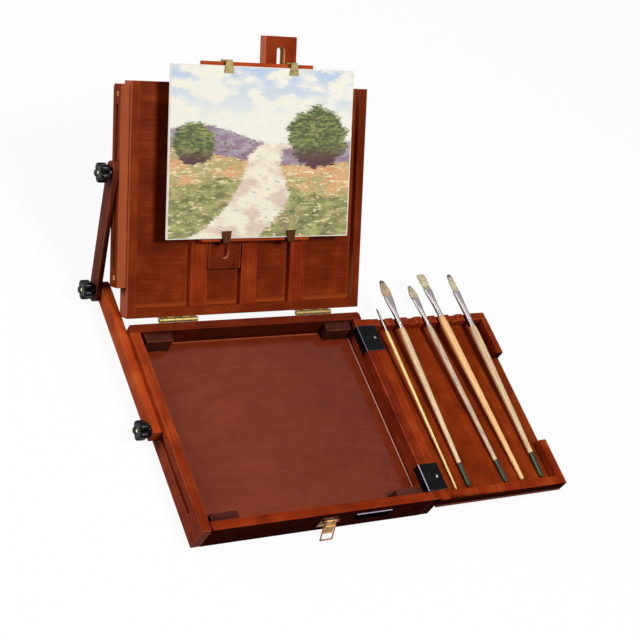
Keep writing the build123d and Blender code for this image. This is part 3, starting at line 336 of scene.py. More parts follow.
PALETTE_BROWN = Stain(paint(0.385, 0.125, 0.05), paint(0.455, 0.17, 0.075), paint(0.52, 0.22, 0.11))
VENEER_BROWN = Stain(paint(0.36, 0.15, 0.07), paint(0.50, 0.24, 0.12), paint(0.60, 0.33, 0.18))
# Painted shade for faces turned to the front.
UNLIT_BROWN = paint(0.09, 0.035, 0.038)
# Painted light on faces turned to the left.
LEFT_LIGHT_BROWN = paint(0.74, 0.42, 0.31)
# Painted light on faces turned square to the lid's outward side.
OUTWARD_LIGHT_BROWN = paint(0.76, 0.41, 0.25)
# Lighter brown of corners, part rubbing and part painted highlight.
RUBBED_HIGHLIGHT_BROWN = paint(0.76, 0.36, 0.16)
RAW_WOOD = paint(0.97, 0.72, 0.48)
# A mask by facing starts where a face turns this far towards the direction, and is full at the second.
FACING = (0.35, 0.85)
SQUARE_ON = (0.6, 0.95)
# Half the reach across a mast's slot, and how softly its raw walls end.
SLOT_REACH = 6.5 * MM
SLOT_BLUR = 0.4 * MM
# The foot and side walls of the lid's fields, and how far a painted highlight reaches from them.
FIELD_FOOT = 11.0 * MM
FIELD_SIDES = (10.75 * MM, 58.25 * MM, 79.75 * MM, 152.5 * MM)
FIELD_LIGHT_FOOT = 8.0 * MM
FIELD_LIGHT_BLUR = 7.0 * MM
FIELD_LIGHT_SIDE = 5.0 * MM


@dataclass(frozen=True)
class StainedWood(Finish):
    """Close-grained wood, stained reddish brown under a satin varnish.

    The fields after ripple say how much painted shade darkens faces turned to the front, how much corners
    lighten in patches (part rubbing, part painted highlight), how much painted highlight lines the lid's
    fields, how much painted light pales faces turned to the left or to the lid's outward side, and where a
    slot with raw walls runs up the lid.
    """

    name: str
    run: Run
    stain: Stain = RED_BROWN
    shift: float = 0.0
    roughness: float = 0.34
    shine: float = 0.018
    ripple: float = 0.0
    painted_front_shade: float = 0.0
    wear_and_edge_highlight: float = 0.0
    painted_field_light: float = 0.0
    painted_left_light: float = 0.0
    painted_front_light: float = 0.0
    slot_at: float | None = None
    slot_span: tuple[float, float] = (0.0, 0.0)

    def edge(self) -> "StainedWood":
        """The same wood at its corners: smoother and lighter, part rubbing and part painted highlight."""
        return replace(self, name=self.name + "_edge", wear_and_edge_highlight=0.5, shine=0.10, roughness=0.26)

    def material(self) -> bpy.types.Material:
        """Builds the wood's material.

        Returns:
            The material.
        """
        bench = NodeBench(self.name)
        place = bench.place()
        along, across, through = (bench.reach(place, axis) for axis in self.run.value)
        across = across + self.shift
        wander = bench.noise(bench.point(along * 3.0, across * 9.0, through * 9.0), 1.0) * 0.012
        side = across + wander
        bands = bench.noise(bench.point(along * 1.7, side * 24.0, through * 24.0), 1.0, 3.0, 0.5)
        streaks = bench.noise(bench.point(along * 11.0, side * 300.0, through * 300.0), 1.0, 3.0)
        pores = bench.noise(bench.point(along * 75.0, side * 1500.0, through * 1500.0), 1.0, 1.0)
        blotches = bench.noise(place, 36.0, 3.0)
        tone = bands * 0.42 + streaks * 0.26 + blotches * 0.46 - 0.07
        if self.ripple:
            ripples = bench.noise(bench.point(along * 30.0, side * 420.0, through * 30.0), 1.0, 2.0)
            tone = tone + (ripples - 0.5) * self.ripple
        colour = bench.ramp(tone, self.stain.stops(0.28, 0.74))
        flecks = bench.fade(pores, 0.56, 0.72) * 0.4
        colour = bench.mix(flecks, colour, self.stain.dark)
        # Painted highlight: a lighter strip along the foot and side walls of each of the lid's fields.
        if self.painted_field_light:
            up = bench.reach(place, LID_RISE, LID_FOOT)
            off = bench.reach(place, RIGHT).size()
            field_light = bench.fade(FIELD_FOOT + FIELD_LIGHT_FOOT - up, 0.0, FIELD_LIGHT_BLUR)
            for wall in FIELD_SIDES:
                field_light = field_light + bench.fade(FIELD_LIGHT_SIDE - (off - wall).size(), 0.0, FIELD_LIGHT_SIDE)
            colour = bench.mix(field_light * self.painted_field_light, colour, self.stain.light)
        # Corners lighter in patches: part rubbing, part painted highlight.
        if self.wear_and_edge_highlight:
            colour = bench.mix(bench.fade(blotches, 0.2, 0.7) * self.wear_and_edge_highlight, colour, RUBBED_HIGHLIGHT_BROWN)
        # Painted light: faces turned to the left are lightened.
        if self.painted_left_light:
            left = bench.fade(bench.facing(LEFT), *FACING) * self.painted_left_light
            colour = bench.mix(left, colour, LEFT_LIGHT_BROWN)
        # Painted light: faces turned square to the lid's outward side are lightened, in streaks that follow
        # the grain.
        if self.painted_front_light:
            front = bench.fade(bench.facing(LID_OUTWARD), *SQUARE_ON) * self.painted_front_light
            colour = bench.mix(front * (0.6 + bands * 0.8), colour, OUTWARD_LIGHT_BROWN)
        if self.slot_at is not None:
            off = (bench.reach(place, RIGHT) - self.slot_at).size()
            up = bench.reach(place, LID_RISE, LID_FOOT)
            low, high = self.slot_span
            within = (high - low) / 2 - (up - (high + low) / 2).size()
            inside = bench.fade(SLOT_REACH - off, 0.0, SLOT_BLUR) * bench.fade(within, 0.0, SLOT_BLUR)
            walls = inside * bench.fade(0.75 - bench.facing(LID_INWARD).size(), 0.0, 0.2)
            colour = bench.mix(walls, colour, RAW_WOOD)
        # Painted shade: faces turned to the front are darkened towards the unlit brown.
        if self.painted_front_shade:
            front = bench.fade(bench.facing(FRONT), *FACING) * self.painted_front_shade
            colour = bench.mix(front, colour, UNLIT_BROWN)
        relief = streaks * 0.5 + pores * 0.5
        return bench.surface({
            "Base Color": colour,
            "Roughness": self.roughness + (blotches - 0.5) * 0.16 + flecks * 0.15,
            "Specular IOR Level": self.shine,
            "Normal": bench.bump(relief, 0.00006, 0.6),
        })


@dataclass(frozen=True)
class GlossyPalette(Finish):
    """Varnished mixing palette with faint curved grain, a painted sheen lighter to its left,
    and a painted highlight along its back and right edges.
    """

    right: float
    back: float
    name: str = "palette_varnish"
    line: float = 3.0 * MM
    bow: float = 0.55
    # How much the painted sheen darkens the palette towards the right.
    shade: float = 0.12
    # Colours of the painted highlight along the back and right edges.
    back_highlight: Colour = paint(0.70, 0.33, 0.20)
    right_highlight: Colour = paint(0.86, 0.62, 0.52)

    def material(self) -> bpy.types.Material:
        """Builds the palette's material.

        Returns:
            The material.
        """
        bench = NodeBench(self.name)
        place = bench.place()
        x = bench.reach(place, RIGHT)
        y = bench.reach(place, BACK)
        bow = y + x * x * self.bow + (bench.noise(place, 5.0, 1.0) - 0.5) * 0.05
        swirl = bench.noise(place, 8.0, 3.0, 1.2)
        grain = bench.noise(bench.point(x * 5.0, bow * 120.0, 0.0), 1.0, 3.0, 0.3)
        threads = bench.noise(bench.point(x * 30.0, bow * 900.0, 0.0), 1.0, 2.0)
        mottle = bench.noise(place, 60.0, 4.0, 0.4)
        tone = swirl * 0.26 + grain * 0.24 + threads * 0.12 + mottle * 0.26 + 0.06
        # Painted sheen: lighter to the left, darker towards the right.
        tone = tone + 0.03 - bench.fade(x, -0.08, 0.12) * self.shade
        colour = bench.ramp(tone, PALETTE_BROWN.stops(0.30, 0.70))
        # Painted highlight: pale lines along the back and right edges.
        right = bench.fade(x, self.right - self.line, self.right - self.line * 0.6)
        back = bench.fade(y, self.back - self.line, self.back - self.line * 0.6)
        colour = bench.mix(back * 0.7, colour, self.back_highlight)
        colour = bench.mix(right * (0.75 + mottle * 0.25), colour, self.right_highlight)
        smears = bench.noise(bench.point(x * 11.0, y * 13.0, 0.0), 1.0, 3.0, 1.5)
        return bench.surface({
            "Base Color": colour,
            "Roughness": 0.17 + bench.fade(smears, 0.45, 0.8) * 0.12 + mottle * 0.03,
            "Specular IOR Level": 0.16,
            "Normal": bench.bump(mottle * 0.5 + grain * 0.5, 0.00005, 0.3),
        })


@dataclass(frozen=True)
class Plywood(Finish):
    """Underside of the tray's bottom panel: pale-stained veneer, the same at its edges."""

    name: str = "panel_veneer"

    def material(self) -> bpy.types.Material:
        """Builds the veneer's material."""
        return StainedWood(self.name, Run.ACROSS_BOX, VENEER_BROWN, 0.3, 0.5).material()


@dataclass(frozen=True)
class Metal(Finish):
    """A metal with tarnish in patches, fine scratches and a little wear."""

    name: str
    bright: Colour
    tarnished: Colour
    roughness: float = 0.28
    tarnish: float = 0.5

    def edge(self) -> "Metal":
        """The same metal where handling keeps it bright."""
        return replace(self, name=self.name + "_edge", roughness=0.18, tarnish=0.1)

    def material(self) -> bpy.types.Material:
        """Builds the metal's material.

        Returns:
            The material.
        """
        bench = NodeBench(self.name)
        place = bench.place()
        patches = bench.noise(place, 160.0, 4.0, 0.6)
        specks = bench.noise(place, 1200.0, 2.0)
        fine = bench.reach(place, (0, 1, 1)) * 4000.0
        scratch = bench.noise(bench.point(bench.reach(place, RIGHT) * 180.0, fine, 0.0), 1.0, 2.0)
        dull = bench.fade(patches, 0.75 - self.tarnish * 0.5, 0.9 - self.tarnish * 0.3)
        return bench.surface({
            "Base Color": bench.mix(dull, self.bright, self.tarnished),
            "Metallic": 1.0,
            "Roughness": self.roughness + dull * 0.15 + (specks - 0.5) * 0.12,
            "Normal": bench.bump(scratch * 0.6 + specks * 0.4, 0.00002, 0.5),
        })


@dataclass(frozen=True)
class EdgedPlate(Finish):
    """Dark plate whose upper edge shows bright: part polish, part painted highlight."""

    top: float
    name: str = "edged_plate"
    strip: float = 1.0 * MM
    dark: tuple[Colour, Colour] = (paint(0.035, 0.022, 0.026), paint(0.06, 0.04, 0.045))
    # Colours of the top strip, part polish and part painted highlight.
    bright: tuple[Colour, Colour] = (paint(0.76, 0.70, 0.77), paint(0.60, 0.53, 0.60))

    def material(self) -> bpy.types.Material:
        """Builds the plate's material.

        Returns:
            The material.
        """
        bench = NodeBench(self.name)
        place = bench.place()
        up = bench.reach(place, UP)
        # Bright top strip: part polish, part painted highlight.
        polished_highlight = bench.fade(up, self.top - self.strip, self.top - self.strip * 0.8)
        across = bench.reach(place, RIGHT) * 120.0
        brushed = bench.noise(bench.point(across, up * 3500.0, 0.0), 1.0, 2.0)
        dark = bench.mix(brushed * 0.5, *self.dark)
        bright = bench.mix(brushed * 0.5, *self.bright)
        return bench.surface({
            "Base Color": bench.mix(polished_highlight, dark, bright),
            "Metallic": polished_highlight * 0.6,
            "Roughness": 0.42 - polished_highlight * 0.16 + (brushed - 0.5) * 0.1,
            "Specular IOR Level": 0.0,
            "Normal": bench.bump(brushed, 0.00002, 0.4),
        })


@dataclass(frozen=True)
class Enamel(Finish):
    """Black paint or moulded plastic with a soft orange-peel surface, and a painted highlight along bends.
    """

    name: str
    colour: Colour
    roughness: float = 0.25
    grain: float = 700.0
    depth: float = 0.00002
    shine: float = 0.16
    bend_highlight: float = 0.0
    bend_highlight_colour: Colour = paint(0.78, 0.76, 0.86)
    # Grey of bends and corners, part rubbing and part painted highlight.
    rubbed_highlight: Colour = paint(0.46, 0.46, 0.50)

    def edge(self) -> "Enamel":
        """The same paint on bends and corners, smooth and greyer: part rubbing, part painted highlight."""
        return replace(self, name=self.name + "_edge", colour=self.rubbed_highlight, roughness=0.22, shine=0.5)

    def material(self) -> bpy.types.Material:
        """Builds the enamel's material.

        Returns:
            The material.
        """
        bench = NodeBench(self.name)
        place = bench.place()
        peel = bench.noise(place, self.grain, 2.0)
        dust = bench.noise(place, 90.0, 3.0)
        lighter = tuple(min(1.0, value * 2.2 + 0.004) for value in self.colour[:3]) + (1.0,)
        colour = bench.mix(bench.fade(dust, 0.45, 0.8), self.colour, lighter)
        # Painted highlight: a pale line on faces turned to the outward side of the bends, stronger towards
        # the front.
        if self.bend_highlight:
            near = bench.fade(0.05 - bench.reach(place, BACK), 0.0, 0.1) * 0.7 + 0.3
            bend_light = bench.fade(bench.facing(BEND_OUTWARD), 0.74, 0.84) * near * self.bend_highlight
            colour = bench.mix(bend_light, colour, self.bend_highlight_colour)
        return bench.surface({
            "Base Color": colour,
            "Roughness": self.roughness + (dust - 0.5) * 0.14,
            "Specular IOR Level": self.shine,
            "Normal": bench.bump(peel, self.depth, 0.5),
        })


@dataclass(frozen=True)
class DomedSteel(Finish):
    """Blackened screw head, lightened where it faces up: a painted highlight."""

    name: str = "domed_steel"
    rim: Colour = paint(0.12, 0.11, 0.11)
    # Colour of the painted highlight on the top of the dome.
    top: Colour = paint(0.82, 0.80, 0.80)

    def material(self) -> bpy.types.Material:
        """Builds the screw head's material.

        Returns:
            The material.
        """
        bench = NodeBench(self.name)
        specks = bench.noise(bench.place(), 1400.0, 2.0)
        # Painted highlight: the head lightens where it faces up.
        crown_highlight = bench.fade(bench.facing(UP) + (specks - 0.5) * 0.03, 0.90, 0.95)
        return bench.surface({
            "Base Color": bench.mix(crown_highlight, self.rim, self.top),
            "Metallic": 1.0,
            "Roughness": 0.3 + (specks - 0.5) * 0.1,
        })


@dataclass(frozen=True)
class PaintedBoard(Finish):
    """A primed board with a generic painted design of hills, trees and a pale path."""

    name: str
    corner: Point
    width: float
    height: float
    margin: float = 0.006

    def material(self) -> bpy.types.Material:
        """Builds the painting's material.

        Returns:
            The material.
        """
        bench = NodeBench(self.name)
        place = bench.place()
        u = bench.reach(place, RIGHT, self.corner) / self.width
        v = bench.reach(place, LID_RISE, self.corner) / self.height
        sweep = bench.noise(bench.point(u * 34.0, v * 90.0, 0.0), 1.0, 4.0, 0.9) - 0.5
        lift = bench.noise(bench.point(u * 44.0, v * 100.0, 4.0), 1.0, 4.0, 0.9) - 0.5
        du = u + sweep * 0.07
        dv = v + lift * 0.06
        luck = (bench.noise(bench.point(u * 26.0, v * 58.0, 7.0), 1.0, 5.0, 1.2) - 0.5) * 2.1 + 0.5
        other = (bench.noise(bench.point(u * 18.0, v * 52.0, 11.0), 1.0, 5.0, 1.4) - 0.5) * 2.1 + 0.5
        drift = bench.noise(bench.point(du * 3.1, dv * 3.1, 2.0), 1.0, 2.0) - 0.5
        patch = bench.noise(bench.point(du * 7.0, dv * 11.0, 5.0), 1.0, 2.0)
        fine = bench.noise(bench.point(du * 13.0, dv * 24.0, 8.0), 1.0, 4.0)

        blue = bench.fade(dv, 0.62, 1.0) * bench.fade(patch, 0.44, 0.62)
        sky = bench.mix(blue, paint(0.98, 0.97, 0.91), paint(0.76, 0.83, 0.92))
        sky = bench.mix(bench.fade(luck, 0.55, 0.95) * 0.5, sky, paint(0.90, 0.91, 0.91))
        ridge = 0.60 + (du * 5.2 + 0.9).sine() * 0.055 + drift * 0.10
        hills = bench.mix(bench.fade(fine, 0.42, 0.6), paint(0.60, 0.50, 0.57), paint(0.70, 0.67, 0.70))
        hills = bench.mix(bench.fade(luck, 0.6, 0.9), hills, paint(0.52, 0.38, 0.38))
        colour = bench.mix(bench.fade(ridge - dv, 0.0, 0.012), sky, hills)
        meadow_line = 0.50 + (du * 3.1 + 2.4).sine() * 0.05 + drift * 0.12
        meadow = bench.mix(bench.fade(patch, 0.40, 0.62), paint(0.70, 0.68, 0.46), paint(0.89, 0.70, 0.50))
        meadow = bench.mix(bench.fade(luck, 0.6, 0.9), meadow, paint(0.87, 0.53, 0.38))
        meadow = bench.mix(bench.fade(other, 0.55, 0.85), meadow, paint(0.96, 0.91, 0.75))
        colour = bench.mix(bench.fade(meadow_line - dv, 0.0, 0.012), colour, meadow)
        bank_line = 0.30 + (du * 4.4).sine() * 0.06 + drift * 0.18
        bank = bench.mix(bench.fade(fine, 0.36, 0.64), paint(0.47, 0.49, 0.30), paint(0.72, 0.71, 0.47))
        bank = bench.mix(bench.fade(luck, 0.55, 0.95) * 0.8, bank, paint(0.60, 0.46, 0.42))
        bank = bench.mix(bench.fade(other, 0.6, 0.9), bank, paint(0.93, 0.88, 0.68))
        colour = bench.mix(bench.fade(bank_line - dv, 0.0, 0.014), colour, bank)
        path_middle = 0.30 + dv * 0.62 + (dv * 9.0).sine() * 0.05 + drift * 0.2
        path_half = 0.21 - dv * 0.24
        path = bench.fade(path_half - (du - path_middle).size(), 0.0, 0.02) * (dv < 0.56)
        trodden = bench.mix(bench.fade(patch, 0.45, 0.6), paint(0.98, 0.95, 0.86), paint(0.90, 0.82, 0.74))
        trodden = bench.mix(bench.fade(luck, 0.66, 1.0), trodden, paint(0.70, 0.67, 0.74))
        colour = bench.mix(path, colour, trodden)
        colour = self.tree_group(bench, colour, du, dv, fine, luck, (0.80, 0.60), (0.16, 0.17))
        colour = self.tree_group(bench, colour, du, dv, fine, other, (0.13, 0.55), (0.10, 0.12))

        inside = (u > self.margin) * (u < 1.0 - self.margin) * (v > self.margin) * (v < 1.0 - self.margin)
        front = bench.reach(place, LID_INWARD, self.corner) < 0.0004
        primer = bench.mix(bench.fade(patch, 0.3, 0.8), paint(0.95, 0.94, 0.90), paint(0.90, 0.88, 0.82))
        hairs = bench.noise(bench.point(u * 60.0, v * 620.0, 0.0), 1.0, 2.0, 0.7)
        weave = bench.noise(bench.point(u * 500.0, v * 400.0, 3.0), 1.0, 1.0)
        return bench.surface({
            "Base Color": bench.mix(inside * front, primer, colour),
            "Roughness": 0.55 + (hairs - 0.5) * 0.25,
            "Specular IOR Level": 0.1,
            "Normal": bench.bump(sweep * 0.5 + hairs * 0.3 + weave * 0.2, 0.00022, 0.5),
        })

    def tree_group(self, bench: NodeBench, colour: Signal, u: Signal, v: Signal, fine: Signal,
                   luck: Signal, centre: tuple[float, float], half: tuple[float, float]) -> Signal:
        """Lays a rounded clump of leaves over the design.

        Args:
            bench: The material's bench.
            colour: The design so far.
            u: Across the board, 0 to 1.
            v: Up the board, 0 to 1.
            fine: A fine noise for the clump's edge.
            luck: A number that differs from dab to dab.
            centre: The clump's middle.
            half: Its half width and half height.

        Returns:
            The design with the clump.
        """
        across = (u - centre[0]) / half[0]
        up = (v - centre[1]) / half[1]
        clump = bench.fade(1.25 - across * across - up * up + (fine - 0.5) * 1.6, 0.0, 0.25)
        leaves = bench.mix(bench.fade(luck, 0.3, 0.8), paint(0.34, 0.38, 0.25), paint(0.60, 0.62, 0.38))
        leaves = bench.mix(bench.fade(up, -0.9, -0.1), paint(0.38, 0.27, 0.29), leaves)
        return bench.mix(clump, colour, leaves)


@dataclass(frozen=True)
class HandleFinish(Finish):
    """Brush handle: varnished wood, with a dipped end and dried paint marks."""

    name: str
    start: Point
    axis: Point
    wood: Stain
    dip: float = 0.0
    smudges: float = 0.0
    dip_colour: Colour = paint(0.06, 0.22, 0.14)
    lip_colour: Colour = paint(0.93, 0.84, 0.62)

    def material(self) -> bpy.types.Material:
        """Builds the handle's material.

        Returns:
            The material.
        """
        bench = NodeBench(self.name)
        place = bench.place()
        along = bench.reach(place, self.axis, self.start)
        x = bench.reach(place, RIGHT)
        z = bench.reach(place, UP)
        grain = bench.noise(bench.point(along * 26.0, x * 1300.0, z * 1300.0), 1.0, 3.0)
        bands = bench.noise(bench.point(along * 5.0, x * 240.0, z * 240.0), 1.0, 2.0)
        tone = grain * 0.55 + bands * 0.45
        colour = bench.ramp(tone, self.wood.stops(0.30, 0.70))
        rough = 0.24 + (grain - 0.5) * 0.1
        relief = grain
        if self.smudges:
            marks = bench.noise(bench.point(along * 70.0, x * 420.0, z * 420.0), 1.0, 3.0, 0.6)
            hue = bench.noise(place, 45.0, 1.0)
            mark = bench.mix(bench.fade(hue, 0.45, 0.55), paint(0.42, 0.42, 0.50), paint(0.66, 0.62, 0.62))
            level = 0.80 - self.smudges * 0.25
            colour = bench.mix(bench.fade(marks, level - 0.06, level) * 0.8, colour, mark)
        if self.dip:
            line = along + (bench.noise(place, 300.0, 1.0) - 0.5) * 0.0012
            dipped = bench.fade(self.dip - line, -0.0001, 0.0003)
            lip = bench.fade(self.dip + 0.007 - line, 0.0, 0.006) * 0.5
            colour = bench.mix(lip, colour, self.lip_colour)
            colour = bench.mix(dipped, colour, self.dip_colour)
            rough = rough - dipped * 0.1
            relief = grain * (1.0 - dipped)
        return bench.surface({
            "Base Color": colour,
            "Roughness": rough,
            "Specular IOR Level": 0.4,
            "Normal": bench.bump(relief, 0.00003, 0.4),
        })


@dataclass(frozen=True)
class FerruleMetal(Finish):
    """Nickelled ferrule with dried paint near its mouth, and a painted reflection across it."""

    name: str
    start: Point
    axis: Point
    length: float
    stained: float = 0.06
    # Direction that sets the painted reflection.
    reflection_side: Point = (0.836, -0.350, 0.422)

    def material(self) -> bpy.types.Material:
        """Builds the ferrule's material.

        Returns:
            The material.
        """
        bench = NodeBench(self.name)
        place = bench.place()
        along = bench.reach(place, self.axis, self.start) / self.length
        patches = bench.noise(place, 210.0, 4.0, 0.8)
        film = bench.fade(patches + along * 0.22, 0.78 - self.stained * 0.3, 0.92 - self.stained * 0.3)
        hue = bench.noise(place, 90.0, 1.0)
        dried = bench.mix(bench.fade(hue, 0.42, 0.58), paint(0.50, 0.48, 0.55), paint(0.60, 0.54, 0.47))
        scratch = bench.noise(bench.point(bench.reach(place, RIGHT) * 2600.0, along * 9.0, 0.0), 1.0, 2.0)
        # Painted reflection: bright in one stripe and darker at the sides, by which way the surface faces.
        turn = bench.facing(self.reflection_side) * 0.5 + (patches - 0.5) * 0.12 + 0.5
        nickel_with_reflection = bench.ramp(turn, [
            (0.06, paint(0.34, 0.28, 0.25)),
            (0.32, paint(0.56, 0.51, 0.49)),
            (0.47, paint(0.66, 0.63, 0.62)),
            (0.55, paint(0.95, 0.94, 0.96)),
            (0.66, paint(0.64, 0.61, 0.62)),
            (0.96, paint(0.40, 0.37, 0.38)),
        ])
        return bench.surface({
            "Base Color": bench.mix(film, nickel_with_reflection, dried),
            "Metallic": 1.0 - film * 0.85,
            "Roughness": 0.22 + film * 0.35 + (scratch - 0.5) * 0.08,
            "Normal": bench.bump(film * 0.6 + scratch * 0.4, 0.00002, 0.3),
        })


@dataclass(frozen=True)
class BristleFinish(Finish):
    """Hog or hair bristles, from their colour at the ferrule to their tips."""

    name: str
    start: Point
    axis: Point
    length: float
    root: Colour
    middle: Colour
    tip: Colour
    tip_start: float = 0.75
    dusty: Colour = paint(0.36, 0.30, 0.25)

    def material(self) -> bpy.types.Material:
        """Builds the bristles' material.

        Returns:
            The material.
        """
        bench = NodeBench(self.name)
        place = bench.place()
        along = bench.reach(place, self.axis, self.start) / self.length
        x = bench.reach(place, RIGHT)
        z = bench.reach(place, UP)
        clumps = bench.noise(bench.point(x * 900.0, along * 2.0, z * 900.0), 1.0, 2.0)
        level = along + (clumps - 0.5) * 0.35
        stops = [(0.02, self.root), (0.3, self.middle), (self.tip_start, self.middle),
                 (min(0.99, self.tip_start + 0.18), self.tip)]
        colour = bench.mix(bench.fade(clumps, 0.5, 0.8) * 0.25, bench.ramp(level, stops), self.dusty)
        return bench.surface({
            "Base Color": colour,
            "Roughness": 0.5,
            "Specular IOR Level": 0.2,
            "Sheen Weight": 0.1,
        })


@dataclass(frozen=True)
class PaleBackground(Finish):
    """Plain floor that looks white and keeps part of the object's shadow."""

    name: str = "pale_floor"
    colour: Colour = paint(0.93, 0.93, 0.93)
    cooler: Colour = paint(0.90, 0.90, 0.91)
    bounce: Colour = paint(0.42, 0.42, 0.42)
    white_share: float = 0.93

    def material(self) -> bpy.types.Material:
        """Builds the floor's material.

        Returns:
            The material.
        """
        bench = NodeBench(self.name)
        seen = background_rays(bench)
        mottle = bench.noise(bench.place(), 3.0, 2.0) * 0.1
        colour = bench.mix(seen, self.bounce, bench.mix(mottle, self.colour, self.cooler))
        plain = bench.add("ShaderNodeBsdfDiffuse", {}, {"Color": colour})
        white = bench.add("ShaderNodeEmission", {}, {"Color": (1, 1, 1, 1), "Strength": 1.0})
        shares = {0: seen * self.white_share, 1: plain, 2: white}
        bench.add_output(bench.add("ShaderNodeMixShader", {}, shares))
        return bench.material


def background_rays(bench: NodeBench) -> Signal:
    """One for camera, mirror and see-through rays, which show the background.

    Args:
        bench: The bench of a material or of the world.

    Returns:
        The mask.
    """
    camera = bench.add("ShaderNodeLightPath", {}, {}, "Is Camera Ray")
    glossy = bench.add("ShaderNodeLightPath", {}, {}, "Is Glossy Ray")
    through = bench.add("ShaderNodeLightPath", {}, {}, "Is Transmission Ray")
    return camera.maths("MAXIMUM", camera, glossy.maths("MAXIMUM", glossy, through))


BRASS = Metal("brass", paint(0.84, 0.75, 0.52), paint(0.58, 0.47, 0.27), 0.27, 0.25)
HINGE_BRASS = Metal("hinge_brass", paint(0.60, 0.51, 0.31), paint(0.42, 0.34, 0.18), 0.36, 0.4)
LEVER_BRASS = Metal("lever_brass", paint(0.72, 0.56, 0.36), paint(0.38, 0.23, 0.14), 0.30, 0.6)
PALE_GOLD = Metal("pale_gold", paint(0.93, 0.87, 0.68), paint(0.70, 0.60, 0.38), 0.30, 0.2)
DULL_BRASS = Metal("dull_brass", paint(0.50, 0.45, 0.30), paint(0.38, 0.33, 0.20), 0.55, 0.5)
LOOP_BRASS = Metal("loop_brass", paint(0.62, 0.38, 0.22), paint(0.40, 0.20, 0.11), 0.28, 0.4)
DARK_BRASS = Metal("dark_brass", paint(0.43, 0.26, 0.14), paint(0.24, 0.13, 0.08), 0.38, 0.5)
CLIP_BRONZE = Metal("clip_bronze", paint(0.27, 0.15, 0.085), paint(0.17, 0.09, 0.05), 0.42, 0.5)
RED_BRASS = Metal("red_brass", paint(0.74, 0.50, 0.30), paint(0.50, 0.30, 0.17), 0.45, 0.3)
BLACK_ENAMEL = Enamel("black_enamel", paint(0.025, 0.025, 0.03), 0.3, 900.0, 0.00002, 0.06, bend_highlight=0.8)
# Black of two discs on the front wall: painted shade of two small holes.
HOLE_SHADE_BLACK = Enamel("hole_shade_black", paint(0.01, 0.01, 0.012), 0.6, 900.0, 0.00001, 0.0)
BLACK_PLASTIC = Enamel("black_plastic", paint(0.022, 0.023, 0.026), 0.20, 500.0, 0.00001, 0.14)


# ---------------------------------------------------------------- mesh tools
@dataclass
class Form:
    """Vertices and faces that are put together before they become an object."""

    vertices: list[Vector] = field(default_factory=list)
    faces: list[tuple[int, ...]] = field(default_factory=list)

    def loft(self, rings: Sequence[Sequence[Vector]]) -> None:
        """Skins a row of rings that have the same number of points, and closes both ends.

        Args:
            rings: The rings, in order.
        """
        first = len(self.vertices)
        count = len(rings[0])
        for ring in rings:
            self.vertices.extend(Vector(point) for point in ring)
        for row in range(len(rings) - 1):
            for step in range(count):
                after = (step + 1) % count
                low = first + row * count
                high = low + count
                self.faces.append((low + step, low + after, high + after, high + step))
        last = first + (len(rings) - 1) * count
        self.faces.append(tuple(first + step for step in reversed(range(count))))
        self.faces.append(tuple(last + step for step in range(count)))

    def merge(self, other: "Form", matrix: Matrix) -> "Form":
        """Adds another form, moved by a matrix.

        Args:
            other: The form that is added.
            matrix: Its move.

        Returns:
            This form.
        """
        first = len(self.vertices)
        self.vertices.extend(matrix @ point for point in other.vertices)
        self.faces.extend(tuple(first + corner for corner in face) for face in other.faces)
        return self

    def piece(self, name: str, smooth_angle: float = 35.0) -> bpy.types.Object:
        """Makes the object.

        Args:
            name: The object's name.
            smooth_angle: Edges sharper than this many degrees stay sharp.

        Returns:
            The object, linked to the scene.
        """
        mesh = bpy.data.meshes.new(name)
        mesh.from_pydata([tuple(point) for point in self.vertices], [], self.faces)
        mesh.validate()
        shape = bmesh.new()
        shape.from_mesh(mesh)
        bmesh.ops.recalc_face_normals(shape, faces=shape.faces)
        for face in shape.faces:
            face.smooth = True
        limit = radians(smooth_angle)
        for edge in shape.edges:
            if len(edge.link_faces) == 2 and edge.calc_face_angle(pi) > limit:
                edge.smooth = False
        shape.to_mesh(mesh)
        shape.free()
        made = bpy.data.objects.new(name, mesh)
        bpy.context.scene.collection.objects.link(made)
        return made


def circle(radius: float, height: float, count: int) -> list[Vector]:
    """Ring of points about +Z at a height."""
    return [Vector((radius * cos(2 * pi * n / count), radius * sin(2 * pi * n / count), height))
            for n in range(count)]


def turned(profile: Sequence[tuple[float, float]], count: int) -> Form:
    """Form turned about +Z.

    Args:
        profile: Heights and radii, from one end to the other.
        count: Points round it.

    Returns:
        The form.
    """
    form = Form()
    form.loft([circle(radius, height, count) for height, radius in profile])
    return form


def seat(place: Sequence[float], axis: Sequence[float]) -> Matrix:
    """Matrix that stands a form at a place with its +Z along an axis."""
    turn = Vector(UP).rotation_difference(Vector(axis)).to_matrix().to_4x4()
    return Matrix.Translation(place) @ turn


def soften(piece: bpy.types.Object, width: float, edge_slot: int) -> None:
    """Rounds a piece's sharp edges with modifiers, which leave its own mesh as it is.

    Args:
        piece: A CAD node.
        width: Width of the rounding.
        edge_slot: Number of the material slot that the rounded edges take.
    """
    weld = piece.modifiers.new("join", "WELD")
    weld.merge_threshold = 1e-6
    flat = piece.modifiers.new("flat", "DECIMATE")
    flat.decimate_type = "DISSOLVE"
    flat.angle_limit = radians(0.5)
    bevel = piece.modifiers.new("edges", "BEVEL")
    bevel.width = width
    bevel.segments = 2
    bevel.limit_method = "ANGLE"
    bevel.angle_limit = radians(40.0)
    bevel.material = edge_slot
    bevel.miter_outer = "MITER_ARC"
    shading = piece.modifiers.new("shading", "WEIGHTED_NORMAL")
    shading.weight = 60


